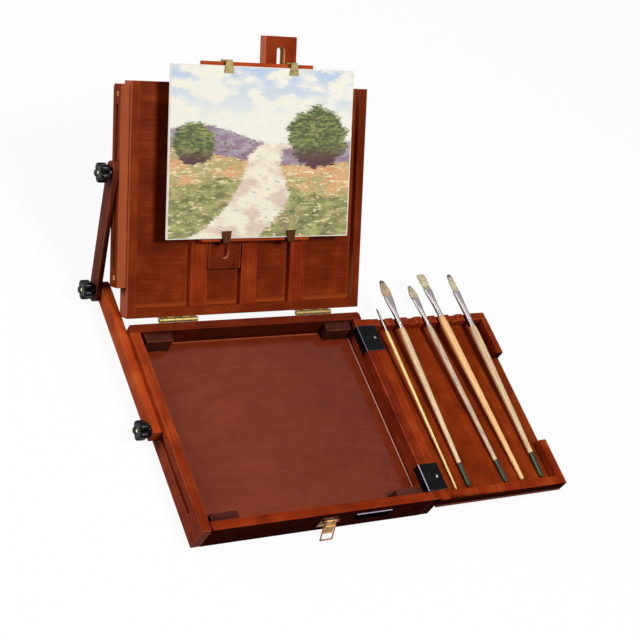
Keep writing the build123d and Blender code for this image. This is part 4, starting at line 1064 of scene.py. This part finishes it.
class Dresser:
    """Gives CAD nodes their finish and new pieces their finish and body."""

    def __init__(self) -> None:
        """Starts with no materials."""
        self.made: dict[Finish, bpy.types.Material] = {}

    def material(self, finish: Finish) -> bpy.types.Material:
        """Builds a finish once, and gives the same material each time."""
        if finish not in self.made:
            self.made[finish] = finish.material()
        return self.made[finish]

    def node(self, name: str, finish: Finish, rounding: float) -> None:
        """Dresses a CAD node that keeps its shape.

        Args:
            name: The node.
            finish: Its finish.
            rounding: Width of its softened edges, or nought for none.
        """
        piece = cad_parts[name]
        self.cover(piece, finish)
        if rounding:
            edge_slot = len(piece.material_slots)
            piece.data.materials.append(self.material(finish.edge()))
            soften(piece, rounding, edge_slot)
        LOG.info("dressed %s with %s", name, finish.name)

    def cover(self, piece: bpy.types.Object, finish: Finish) -> None:
        """Puts one finish in every material slot of a piece.

        Args:
            piece: A CAD node or a new piece.
            finish: Its finish.
        """
        if not piece.material_slots:
            piece.data.materials.append(None)
        for place in piece.material_slots:
            place.material = self.material(finish)

    def fit(self, piece: bpy.types.Object, finish: Finish, body: str, slot: str, *stands_for: str) -> None:
        """Dresses a new piece and fixes it to a body.

        Args:
            piece: The piece.
            finish: Its finish.
            body: The CAD body that carries it.
            slot: The record's material slot; not used.
            stands_for: CAD nodes that it replaces.
        """
        self.cover(piece, finish)
        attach(piece, body)
        if stands_for:
            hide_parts(*stands_for)
        LOG.info("built %s on %s", piece.name, body)


DRESSER = Dresser()


# ---------------------------------------------------------------- sub-assemblies
@dataclass
class ScrewHead:
    """Domed head with a cross recess, along +Z from the face it sits on."""

    radius: float
    height: float
    rings: int = 9
    count: int = 32
    rim: float = 0.35
    dome: float = 2.2
    recess_half: float = 0.17
    recess_reach: float = 0.68
    recess_depth: float = 0.75

    def form(self) -> Form:
        """Builds the head.

        Returns:
            The form, with its foot at the origin.
        """
        form = Form()
        rings = [circle(self.radius, 0.0, self.count)]
        for step in range(self.rings):
            share = 1.0 - step / self.rings
            ring = []
            for point in circle(self.radius * share, 0.0, self.count):
                lift = self.height * (self.rim + (1.0 - self.rim) * (1.0 - share ** self.dome))
                arm = min(abs(point.x), abs(point.y))
                if arm < self.recess_half * self.radius and share < self.recess_reach:
                    lift -= self.height * self.recess_depth
                ring.append(Vector((point.x, point.y, lift)))
            rings.append(ring)
        form.loft(rings)
        return form


Row = tuple[str, Finish, float]


@dataclass
class Assembly:
    """A sub-assembly: its CAD nodes, each with its finish and the rounding of its edges in millimetres."""

    nodes: tuple[Row, ...] = ()

    def dress(self) -> None:
        """Dresses the CAD nodes that keep their shape."""
        for name, finish, rounding in self.nodes:
            DRESSER.node(name, finish, rounding * MM)


@dataclass
class Tray(Assembly):
    """The tray's walls, bottom panel, corner blocks, palette and hardware."""

    nodes: tuple[Row, ...] = (
        ("tray_left_wall", StainedWood("tray_side_wood", Run.ALONG_BOX, shift=0.11), 0.7),
        # The right, front and back walls take painted shade on faces turned to the front.
        ("tray_right_wall", StainedWood(
            "tray_right_wood", Run.ALONG_BOX, WALL_BROWN, 0.37, shine=0.0, painted_front_shade=0.85), 0.7),
        ("tray_front_wall", StainedWood(
            "tray_front_wood", Run.ACROSS_BOX, shift=0.23, shine=0.0, painted_front_shade=0.8), 0.7),
        ("tray_back_wall", StainedWood(
            "tray_back_wood", Run.ACROSS_BOX, BACK_SHADE_BROWN, 0.71, painted_front_shade=0.5), 0.7),
        ("tray_bottom_panel", Plywood(), 0.3),
        ("corner_blocks", StainedWood("corner_block_wood", Run.ACROSS_BOX, BLOCK_SHADE_BROWN, 0.5), 0.5),
        ("palette", GlossyPalette(*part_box("palette")[1].xy), 0.8),
        ("tripod_insert", BRASS, 0.0),
        ("hinge_tray_leaves", HINGE_BRASS, 0.25),
        ("hinge_pins", DULL_BRASS, 0.0),
        ("hinge_lid_leaves", HINGE_BRASS, 0.25),
        ("front_plate", EdgedPlate(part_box("front_plate")[1].z), 0.0),
    )
    # Two black discs on the front wall stand for the painted shade of two small holes.
    hole_shade_places: tuple[Point, ...] = ((130.6, -137.5, 21.6), (134.6, -137.5, 21.3))
    hole_shade_radius: float = 1.9 * MM
    hole_shade_height: float = 0.25 * MM

    def dress(self) -> None:
        """Dresses the nodes, and adds two small black discs on the front wall: painted shade of holes."""
        super().dress()
        head = turned([(0.0, self.hole_shade_radius), (self.hole_shade_height * 0.6, self.hole_shade_radius * 0.9),
                       (self.hole_shade_height, self.hole_shade_radius * 0.5)], 20)
        hole_shades = Form()
        for place in self.hole_shade_places:
            hole_shades.merge(head, seat(Vector(place) * MM, FRONT))
        DRESSER.fit(hole_shades.piece("front_wall_hole_shades"), HOLE_SHADE_BLACK, "tray", "black_steel")


@dataclass
class Lid(Assembly):
    """The lid's frame, panel, battens, side rail, catch and clamp bolts."""

    nodes: tuple[Row, ...] = (
        # The stiles take painted light on faces turned to the left.
        ("lid_stiles", StainedWood("lid_stile_wood", Run.UP_LID, LID_BROWN, 0.19, painted_left_light=0.6), 0.6),
        ("lid_cross_rails", StainedWood("lid_rail_wood", Run.ACROSS_LID, LID_BROWN, 0.61), 0.6),
        # The panel takes a painted highlight along its fields.
        ("lid_panel", StainedWood(
            "lid_panel_wood", Run.ACROSS_LID, LID_BROWN, 0.83, ripple=0.12, painted_field_light=0.85), 0.3),
        ("mast_guides", StainedWood("batten_wood", Run.UP_LID, RED_BROWN, 0.47), 0.5),
        # The side rail takes painted light on its outward face.
        ("side_rail", StainedWood("side_rail_wood", Run.UP_LID, LID_BROWN, 0.29, painted_front_light=0.5), 0.6),
        ("latch_strike", BRASS, 0.2),
        ("clamp_bolts", DARK_BRASS, 0.3),
    )


@dataclass
class Knob:
    """A lobed clamp knob of moulded plastic with a brass insert.

    foot_steps gives heights over the collar and insets of the outline in millimetres; top_steps gives
    depths under the top and insets in millimetres, and how much of the outline is lobed there.
    """

    name: str
    foot: Sequence[float]
    axis: Point
    collar: float = 3.0 * MM
    height: float = 12.0 * MM
    lobes: int = 5
    ring: float = 7.6 * MM
    lobe: float = 4.4 * MM
    collar_radius: float = 7.0 * MM
    insert_radius: float = 1.9 * MM
    insert_gap: float = 0.6 * MM
    insert_depth: float = 0.9 * MM
    count: int = 120
    foot_steps: tuple[tuple[float, float], ...] = ((0.0, -2.6), (0.3, -1.2), (1.3, -0.15), (3.0, 0.0))
    top_steps: tuple[Point, ...] = ((2.6, 0.0, 1.0), (1.2, -0.35, 1.0), (0.35, -1.3, 1.0),
                                    (0.0, -2.9, 1.0), (0.25, -4.6, 0.6), (0.9, -6.0, 0.2))

    def outline(self, angle: float) -> float:
        """Radius of the lobed outline at an angle.

        Args:
            angle: Angle about the knob's axis.

        Returns:
            The radius there.
        """
        pitch = 2 * pi / self.lobes
        off = (angle + pitch / 2) % pitch - pitch / 2
        chord = self.lobe ** 2 - (self.ring * sin(off)) ** 2
        lobed = self.ring * cos(off) + chord ** 0.5 if chord > 0 else 0.0
        valley = self.ring * 1.06
        return (lobed ** 8 + valley ** 8) ** 0.125

    def build(self) -> None:
        """Builds the knob and its insert, and replaces the CAD knob."""
        top = self.collar + self.height
        steps = [(self.collar + up * MM, inset * MM, 1.0) for up, inset in self.foot_steps]
        steps += [(top - down * MM, inset * MM, lobed) for down, inset, lobed in self.top_steps]
        rings = [circle(self.collar_radius, height, self.count) for height in (0.0, self.collar * 0.9)]
        for height, inset, lobed in steps:
            ring = []
            for number in range(self.count):
                angle = 2 * pi * number / self.count
                wide = self.outline(angle) * lobed + self.ring * 1.25 * (1 - lobed)
                radius = max(self.insert_radius + self.insert_gap, wide + inset)
                ring.append(Vector((radius * cos(angle), radius * sin(angle), height)))
            rings.append(ring)
        rings.append(circle(self.insert_radius, top - self.insert_depth, self.count))
        grip = Form()
        grip.loft(rings)
        insert = turned([(top - 1.1 * MM, self.insert_radius), (top - 0.45 * MM, self.insert_radius),
                         (top - 0.25 * MM, self.insert_radius * 0.75), (top - 0.25 * MM, 0.0002)], 24)
        place = seat(self.foot, self.axis)
        grip = Form().merge(grip, place).piece(self.name + "_grip", 50.0)
        DRESSER.fit(grip, BLACK_PLASTIC, self.name, "black_knob", self.name)
        insert = Form().merge(insert, place).piece(self.name + "_insert")
        DRESSER.fit(insert, PALE_GOLD, self.name, "brass")


@dataclass
class Stay(Assembly):
    """The lid's stay: slotted arm, brace, bolts and knobs; the masts' knobs too."""

    nodes: tuple[Row, ...] = (
        ("support_arm", StainedWood("arm_wood", Run.ALONG_BOX, ARM_BROWN, 0.53), 0.7),
        ("support_brace", StainedWood("brace_wood", Run.ALONG_BRACE, BRACE_BROWN, 0.13), 0.6),
        ("arm_bolts", DARK_BRASS, 0.3),
        ("brace_bolt", DARK_BRASS, 0.3),
    )
    knobs: tuple[str, ...] = ("lower_knob", "middle_knob", "upper_knob")
    mast_knobs: tuple[tuple[str, float, float], ...] = (
        ("lower_mast_knob", -34.5 * MM, 150.0 * MM), ("upper_mast_knob", 34.5 * MM, 200.0 * MM))
    mast_knob_depth: float = 14.8 * MM
    mast_knob_collar: float = 0.7 * MM
    mast_knob_height: float = 8.5 * MM

    def dress(self) -> None:
        """Dresses the nodes, and builds the five knobs."""
        super().dress()
        for name in self.knobs:
            low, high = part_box(name)
            Knob(name, (high.x, (low.y + high.y) / 2, (low.z + high.z) / 2), LEFT).build()
        for name, side, up in self.mast_knobs:
            foot = lid_point(side, up, self.mast_knob_depth)
            Knob(name, foot, LID_INWARD, self.mast_knob_collar, self.mast_knob_height).build()


@dataclass
class Holders(Assembly):
    """The two masts with their bars and clips, and the painting board."""

    nodes: tuple[Row, ...] = (
        # The upper mast takes painted light on faces turned to the left.
        ("upper_mast", StainedWood(
            "upper_mast_wood", Run.UP_LID, RED_BROWN, 0.97, painted_left_light=0.85,
            slot_at=34.5 * MM, slot_span=(125.0 * MM, 329.0 * MM)), 0.5),
        ("lower_mast", StainedWood(
            "lower_mast_wood", Run.UP_LID, LID_BROWN, 0.31,
            slot_at=-34.5 * MM, slot_span=(60.5 * MM, 245.0 * MM)), 0.5),
        ("upper_bar", StainedWood("bar_wood", Run.ACROSS_LID, ARM_BROWN, 0.41), 0.5),
        ("lower_bar", StainedWood("bar_wood", Run.ACROSS_LID, ARM_BROWN, 0.41), 0.5),
        ("upper_clips", DULL_BRASS, 0.2),
        ("lower_clips", CLIP_BRONZE, 0.2),
        ("painting_board", PaintedBoard("painted_board", tuple(BOARD_CORNER), *BOARD_SIZE), 0.3),
    )


@dataclass
class Latch(Assembly):
    """The draw latch on the tray's front wall."""

    nodes: tuple[Row, ...] = (
        ("latch_plate", DARK_BRASS, 0.2),
        ("latch_lever", LEVER_BRASS, 0.2),
        ("latch_loop", LOOP_BRASS, 0.0),
    )


@dataclass
class BrushTray(Assembly):
    """The tray that hooks on the right side and carries the brushes."""

    nodes: tuple[Row, ...] = (
        ("brush_tray_base", StainedWood("brush_base_wood", Run.ALONG_BOX, BASE_BROWN, 0.77), 0.5),
        ("brush_tray_back_rim", StainedWood("brush_back_rim_wood", Run.ACROSS_BOX, shift=0.05), 0.8),
        # The rims take painted shade on faces turned to the front.
        ("brush_tray_rims", StainedWood(
            "brush_rim_wood", Run.ALONG_BOX, shift=0.59, shine=0.0, painted_front_shade=0.88), 0.8),
        ("brush_tray_hooks", BLACK_ENAMEL, 0.55),
    )


class Head(Enum):
    """Shape of a brush's head: its swell, its fanning out and how its tips round off."""

    LINER = (0.0, 0.0, 0.9)
    FILBERT = (0.34, 0.10, 0.42)
    SMALL_FILBERT = (0.42, 0.14, 0.42)
    FLAT = (0.10, 0.32, 0.07)
    BRIGHT = (0.14, 0.04, 0.30)


@dataclass
class Brush:
    """One brush: turned handle, crimped ferrule and a head of separate bristles; sizes in millimetres."""

    name: str
    notch: int
    notch_offset: float
    butt_x: float
    butt_y: float
    handle: float
    butt: float
    belly: float
    neck: float
    seat: float
    ferrule: float
    width: float
    thickness: float
    bristle: float
    head: Head
    wood: Stain
    root: Colour
    middle: Colour
    tip: Colour
    dip: float = 0.0
    smudges: float = 0.0
    hairs: int = 760
    notch_first: float = 30.45
    notch_pitch: float = 22.8
    notch_depth: float = 3.2
    back_rim: float = 10.5
    front_rim: float = 11.1
    seat_gap: float = 0.3
    crimps: tuple[float, ...] = (4.0, 6.4, 10.5)
    crimp_depth: float = 0.28
    crimp_width: float = 0.42
    tang: float = 4.0
    hair_radius: float = 0.17
    hair_turn: float = 2.399963

    def axis(self) -> tuple[Vector, Vector]:
        """Where the handle's end lies, and which way the brush points.

        Returns:
            The start in metres and the direction.
        """
        low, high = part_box("brush_tray_base")
        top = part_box("brush_tray_back_rim")[1].z
        start = Vector((
            low.x + self.butt_x * MM,
            low.y + (self.front_rim + self.butt_y) * MM,
            high.z + (self.butt + self.seat_gap) * MM,
        ))
        rest = Vector((
            low.x + (self.notch_first + self.notch_pitch * self.notch + self.notch_offset) * MM,
            high.y - self.back_rim / 2 * MM,
            top + (self.seat + 2 * self.seat_gap - self.notch_depth) * MM,
        ))
        return start, (rest - start).normalized()

    def matrix(self) -> Matrix:
        """The brush's place, with +Z along it and +Y across its flat side.

        Returns:
            The matrix that brings it there from the origin and from millimetres to metres.
        """
        start, line = self.axis()
        side = line.cross(Vector(UP)).normalized()
        other = line.cross(side)
        turn = Matrix((side, other, line)).transposed().to_4x4()
        return Matrix.Translation(start) @ turn @ Matrix.Scale(MM, 4)

    def build(self) -> None:
        """Builds the brush's three pieces in place of its CAD nodes."""
        matrix = self.matrix()
        start, line = self.axis()
        mouth = start + line * ((self.handle + self.ferrule) * MM)
        neck = start + line * (self.handle * MM)
        wood = HandleFinish(self.name + "_wood", tuple(start), tuple(line), self.wood, self.dip * MM,
                            self.smudges)
        metal = FerruleMetal(self.name + "_metal", tuple(neck), tuple(line), self.ferrule * MM)
        hair = BristleFinish(self.name + "_hair", tuple(mouth), tuple(line), self.bristle * MM,
                             self.root, self.middle, self.tip)
        parts = ((self.handle_form(), "handle", wood, "handle_wood"),
                 (self.ferrule_form(), "ferrule", metal, "ferrule_metal"),
                 (self.bristle_form(), "head", hair, "bristle"))
        for form, part, finish, slot in parts:
            node = f"{self.name}_{part}"
            piece = Form().merge(form, matrix).piece(f"{node}_piece")
            DRESSER.fit(piece, finish, self.name, slot, node)

    def handle_form(self) -> Form:
        """Handle from its rounded end, through its swell, to the ferrule.

        Returns:
            The form, along +Z.
        """
        swell = self.belly - self.butt
        waist = self.belly - self.neck
        profile = [(0.0, 0.05)]
        for turn in range(1, 9):
            angle = radians(90 * turn / 8)
            profile.append((self.butt * (1 - cos(angle)), self.butt * sin(angle)))
        marks = (
            (self.butt, self.butt),
            (self.handle * 0.3, self.butt + swell * 0.32),
            (self.handle * 0.6, self.butt + swell * 0.68),
            (self.handle * 0.75, self.butt + swell * 0.88),
            (self.handle * 0.87, self.belly),
            (self.handle * 0.95, self.neck + waist * 0.94),
            (self.handle * 0.985, self.neck + waist * 0.6),
            (self.handle, self.neck),
        )
        heights, radii = zip(*marks)
        for height in np.linspace(self.butt, self.handle, 90)[1:]:
            profile.append((float(height), float(np.interp(height, heights, radii))))
        profile.append((self.handle + self.tang, self.neck - 0.4))
        return turned(profile, 40)

    def ferrule_form(self) -> Form:
        """Ferrule from the round neck, past its crimps, to the flattened mouth.

        Returns:
            The form, along +Z.
        """
        count = 48
        rings = []
        for share in np.linspace(0.0, 1.0, 90):
            height = share * self.ferrule
            flat = max(0.0, (share - 0.38) / 0.62)
            flat = flat * flat * (3 - 2 * flat)
            groove = sum(self.crimp_depth * np.exp(-((height - crimp) / self.crimp_width) ** 2)
                         for crimp in self.crimps)
            radius = self.neck + 0.05 - groove
            half_width = radius + flat * (self.width / 2 - radius)
            half_thick = radius + flat * (self.thickness / 2 - radius)
            power = 2.0 + 1.2 * flat
            ring = []
            for number in range(count):
                angle = 2 * pi * number / count
                c, s = cos(angle), sin(angle)
                bulge = (abs(c) ** power + abs(s) ** power) ** (-1 / power)
                ring.append(Vector((half_width * c * bulge, half_thick * s * bulge, self.handle + height)))
            rings.append(ring)
        inner = [Vector((p.x * 0.9, p.y * 0.84, p.z)) for p in rings[-1]]
        deeper = [Vector((p.x, p.y, p.z - 2.0)) for p in inner]
        form = Form()
        form.loft(rings + [inner, deeper])
        return form

    def bristle_form(self) -> Form:
        """Bristles spread over the mouth, swelling and closing to the head's tip, about a solid core.

        Returns:
            The form, along +Z.
        """
        swell, fan, rounding = self.head.value
        draw = np.random.default_rng(sum(ord(letter) for letter in self.name))
        form = Form()
        base = self.handle + self.ferrule - 1.0
        half_width = self.width / 2 * 0.86
        half_thick = self.thickness / 2 * 0.80
        for number in range(self.hairs):
            radius = ((number + 0.5) / self.hairs) ** 0.5
            angle = number * self.hair_turn
            across, deep = radius * cos(angle), radius * sin(angle)
            reach = self.bristle * (1 - rounding * abs(across) ** 3 - 0.10 * deep ** 2)
            reach *= 1 - abs(draw.normal(0.0, 0.035))
            lean = draw.normal(0.0, 0.022, 2)
            rings = []
            for share in (0.0, 0.2, 0.4, 0.6, 0.8, 0.93, 1.0):
                wide = 1 + swell * bulge(share) + fan * share - 0.2 * rounding * share ** 3
                thick = 1 + swell * 0.7 * bulge(share) - 0.55 * share ** 2.5
                x = half_width * across * wide + lean[0] * reach * share ** 2
                y = half_thick * deep * thick + lean[1] * reach * share ** 2 * 0.5
                size = self.hair_radius * (1.0 - 0.72 * share)
                rings.append([Vector((x + size * cos(t), y + size * sin(t), base + (reach + 1.0) * share))
                              for t in (0.0, 2 * pi / 3, 4 * pi / 3)])
            form.loft(rings)
        core = []
        for share in np.linspace(0.0, 1.0, 12):
            closing = 1 - share ** 4
            wide = (1 + swell * bulge(share) + fan * share) * closing * 0.84 + 0.02
            thick = (1 + swell * 0.7 * bulge(share) - 0.5 * share ** 2.5) * closing
            core.append([Vector((half_width * wide * cos(2 * pi * n / 20),
                                 half_thick * (thick * 0.84 + 0.02) * sin(2 * pi * n / 20),
                                 base + self.bristle * 0.86 * share)) for n in range(20)])
        form.loft(core)
        return form


def bulge(share: float) -> float:
    """How far a head's swell has come at a share of its length."""
    return sin(pi * min(1.0, share * 1.1))


BEIGE_WOOD = Stain(paint(0.70, 0.56, 0.40), paint(0.85, 0.72, 0.55), paint(0.94, 0.84, 0.69))
GREY_WOOD = Stain(paint(0.66, 0.54, 0.42), paint(0.81, 0.70, 0.56), paint(0.90, 0.82, 0.70))
HONEY_WOOD = Stain(paint(0.84, 0.58, 0.32), paint(0.95, 0.73, 0.47), paint(0.99, 0.84, 0.61))
CREAM_WOOD = Stain(paint(0.84, 0.70, 0.36), paint(0.95, 0.85, 0.53), paint(0.99, 0.95, 0.72))

BRUSHES = (
    Brush("liner_brush", 0, -0.8, 36.4, 5.8, 229.0, 1.4, 2.25, 1.7, 1.8, 27.1, 2.6, 2.6, 7.8, Head.LINER,
          CREAM_WOOD, paint(0.45, 0.25, 0.22), paint(0.50, 0.28, 0.25), paint(0.35, 0.2, 0.2), hairs=90),
    Brush("filbert_brush", 1, 0.3, 56.3, 6.9, 229.8, 2.25, 4.45, 3.4, 3.5, 47.8, 13.0, 3.9, 26.8,
          Head.FILBERT, BEIGE_WOOD, paint(0.86, 0.77, 0.66), paint(0.97, 0.89, 0.76),
          paint(0.42, 0.35, 0.30), dip=33.0, smudges=0.25),
    Brush("small_filbert_brush", 3, -1.2, 114.9, 5.7, 233.2, 2.3, 3.8, 3.0, 3.1, 40.3, 11.0, 3.3, 22.7,
          Head.SMALL_FILBERT, GREY_WOOD, paint(0.72, 0.70, 0.68), paint(0.95, 0.90, 0.81),
          paint(0.90, 0.85, 0.75), dip=32.0, smudges=0.75),
    Brush("flat_brush", 4, 1.1, 141.0, 6.2, 244.5, 2.75, 5.2, 3.6, 4.9, 42.4, 12.6, 3.9, 25.0, Head.FLAT,
          HONEY_WOOD, paint(0.70, 0.78, 0.68), paint(1.0, 0.95, 0.86), paint(1.0, 0.95, 0.86), smudges=0.1),
    Brush("bright_brush", 6, -0.2, 173.1, 5.7, 226.6, 2.7, 5.1, 3.9, 4.0, 55.7, 10.7, 4.6, 27.7, Head.BRIGHT,
          BEIGE_WOOD, paint(0.86, 0.82, 0.74), paint(0.98, 0.95, 0.86), paint(0.36, 0.33, 0.30),
          dip=35.5, smudges=0.2),
)


@dataclass
class Screws:
    """Heads of the screws that show, in place of the plain CAD ones; sizes in millimetres.

    Each head is a radius and a height. The other fields are places in the frame, and on the lid from
    its hinge edge and from its rim.
    """

    head: tuple[float, float] = (2.7, 0.9)
    rail_head: tuple[float, float] = (4.0, 1.1)
    hook_head: tuple[float, float] = (2.4, 1.0)
    hinge_x: tuple[float, ...] = (-112.0, -95.5, -79.0, 79.0, 95.5, 112.0)
    tray_leaf: tuple[float, float] = (138.8, 24.0)
    lid_leaf: tuple[float, float] = (-1.3, 12.5)
    latch_x: tuple[float, ...] = (1.75, 12.25)
    latch_base: tuple[float, float] = (-138.5, 14.0)
    rail_x: float = -173.4
    rail_up: tuple[float, ...] = (47.2, 259.8)
    rail_depth: float = 13.75
    hook_x: float = 169.55
    hook_y: tuple[float, ...] = (96.4, -107.4)
    hook_z: float = 37.8

    def dress(self) -> None:
        """Builds the screw heads of the tray, the lid and the brush tray."""
        head, rail_head, hook_head = (ScrewHead(radius * MM, height * MM).form() for radius, height in
                                      (self.head, self.rail_head, self.hook_head))
        tray, lid, hooks = Form(), Form(), Form()
        for x in self.hinge_x:
            tray.merge(head, seat(Vector((x, *self.tray_leaf)) * MM, BACK))
            lid.merge(head, seat(lid_point(x * MM, *(value * MM for value in self.lid_leaf)), LID_FALL))
        for x in self.latch_x:
            tray.merge(head, seat(Vector((x, *self.latch_base)) * MM, FRONT))
        for up in self.rail_up:
            lid.merge(rail_head, seat(lid_point(self.rail_x * MM, up * MM, self.rail_depth * MM), LEFT))
        for y in self.hook_y:
            hooks.merge(hook_head, seat(Vector((self.hook_x, y, self.hook_z)) * MM, UP))
        DRESSER.fit(tray.piece("tray_screw_heads"), BRASS, "tray", "brass", "tray_screws")
        DRESSER.fit(lid.piece("lid_screw_heads"), RED_BRASS, "lid", "brass", "lid_screws")
        hook_screws = hooks.piece("hook_screw_heads")
        DRESSER.fit(hook_screws, DomedSteel(), "brush_tray", "bright_steel", "hook_screws")


@dataclass
class Studio:
    """Floor, soft light, white surroundings and the camera; sizes in metres, power in watts."""

    floor_half: float = 30.0
    floor_drop: float = 0.0006
    key_place: Point = (0.48, -0.84, 2.15)
    key_power: float = 44.0
    key_size: float = 0.7
    fill_place: Point = (-1.82, 0.82, 0.96)
    fill_power: float = 35.0
    fill_size: float = 1.3
    aim: Point = (0.05, 0.05, 0.1)
    ambient: float = 0.07
    ambient_colour: Colour = (0.95, 0.97, 1.0, 1.0)
    camera_place: Point = (-0.976896, -0.784652, 1.415051)
    camera_right: Point = (0.836373, -0.350173, 0.421734)
    camera_up: Point = (0.049420, 0.814397, 0.578199)
    camera_back: Point = (-0.545929, -0.462748, 0.698445)
    lens: float = 88.64
    sensor: float = 36.0

    def build(self) -> None:
        """Builds the studio."""
        self.add_floor()
        self.add_world()
        self.add_lamp("key_light", self.key_place, self.key_power, self.key_size)
        self.add_lamp("fill_light", self.fill_place, self.fill_power, self.fill_size)
        self.add_camera()
        bpy.context.scene.view_settings.view_transform = "Standard"

    def add_floor(self) -> None:
        """Lays the floor, which isn't part of the object."""
        half = self.floor_half
        form = Form()
        form.vertices = [Vector((x, y, -self.floor_drop)) for x, y in
                         ((-half, -half), (half, -half), (half, half), (-half, half))]
        form.faces = [(0, 1, 2, 3)]
        floor = form.piece("studio_floor")
        DRESSER.cover(floor, PaleBackground())

    def add_world(self) -> None:
        """Soft light all round, white where a camera or mirror ray sees it."""
        world = bpy.data.worlds.new("studio")
        bpy.context.scene.world = world
        bench = NodeBench("studio", world)
        seen = background_rays(bench)
        dim = bench.add("ShaderNodeBackground", {}, {"Color": self.ambient_colour, "Strength": self.ambient})
        white = bench.add("ShaderNodeBackground", {}, {"Color": (1.0, 1.0, 1.0, 1.0), "Strength": 1.0})
        mixed = bench.add("ShaderNodeMixShader", {}, {0: seen, 1: dim, 2: white})
        bench.add_output(mixed, "ShaderNodeOutputWorld")

    def add_lamp(self, name: str, place: Point, power: float, size: float) -> None:
        """Adds a square soft lamp that faces the box.

        Args:
            name: The lamp's name.
            place: Where it stands.
            power: Its power in watts.
            size: Its side.
        """
        lamp = bpy.data.lights.new(name, "AREA")
        lamp.energy = power
        lamp.size = size
        holder = bpy.data.objects.new(name, lamp)
        holder.location = place
        aim = Vector(self.aim) - Vector(place)
        holder.rotation_euler = aim.to_track_quat("-Z", "Y").to_euler()
        bpy.context.scene.collection.objects.link(holder)

    def add_camera(self) -> None:
        """Sets the camera at the photograph's viewing angle."""
        camera = bpy.data.cameras.new("camera")
        camera.lens = self.lens
        camera.sensor_width = self.sensor
        camera.clip_end = 100.0
        holder = bpy.data.objects.new("camera", camera)
        turn = Matrix((self.camera_right, self.camera_up, self.camera_back)).transposed().to_4x4()
        holder.matrix_world = Matrix.Translation(self.camera_place) @ turn
        bpy.context.scene.collection.objects.link(holder)
        bpy.context.scene.camera = holder


def main() -> None:
    """Builds the studio and dresses every sub-assembly in order."""
    logging.basicConfig(level=logging.INFO, format="%(name)s: %(message)s")
    Studio().build()
    for assembly in (Tray(), Lid(), Stay(), Holders(), Latch(), BrushTray(), Screws()):
        assembly.dress()
    for brush in BRUSHES:
        brush.build()


if __name__ == "__main__":
    main()
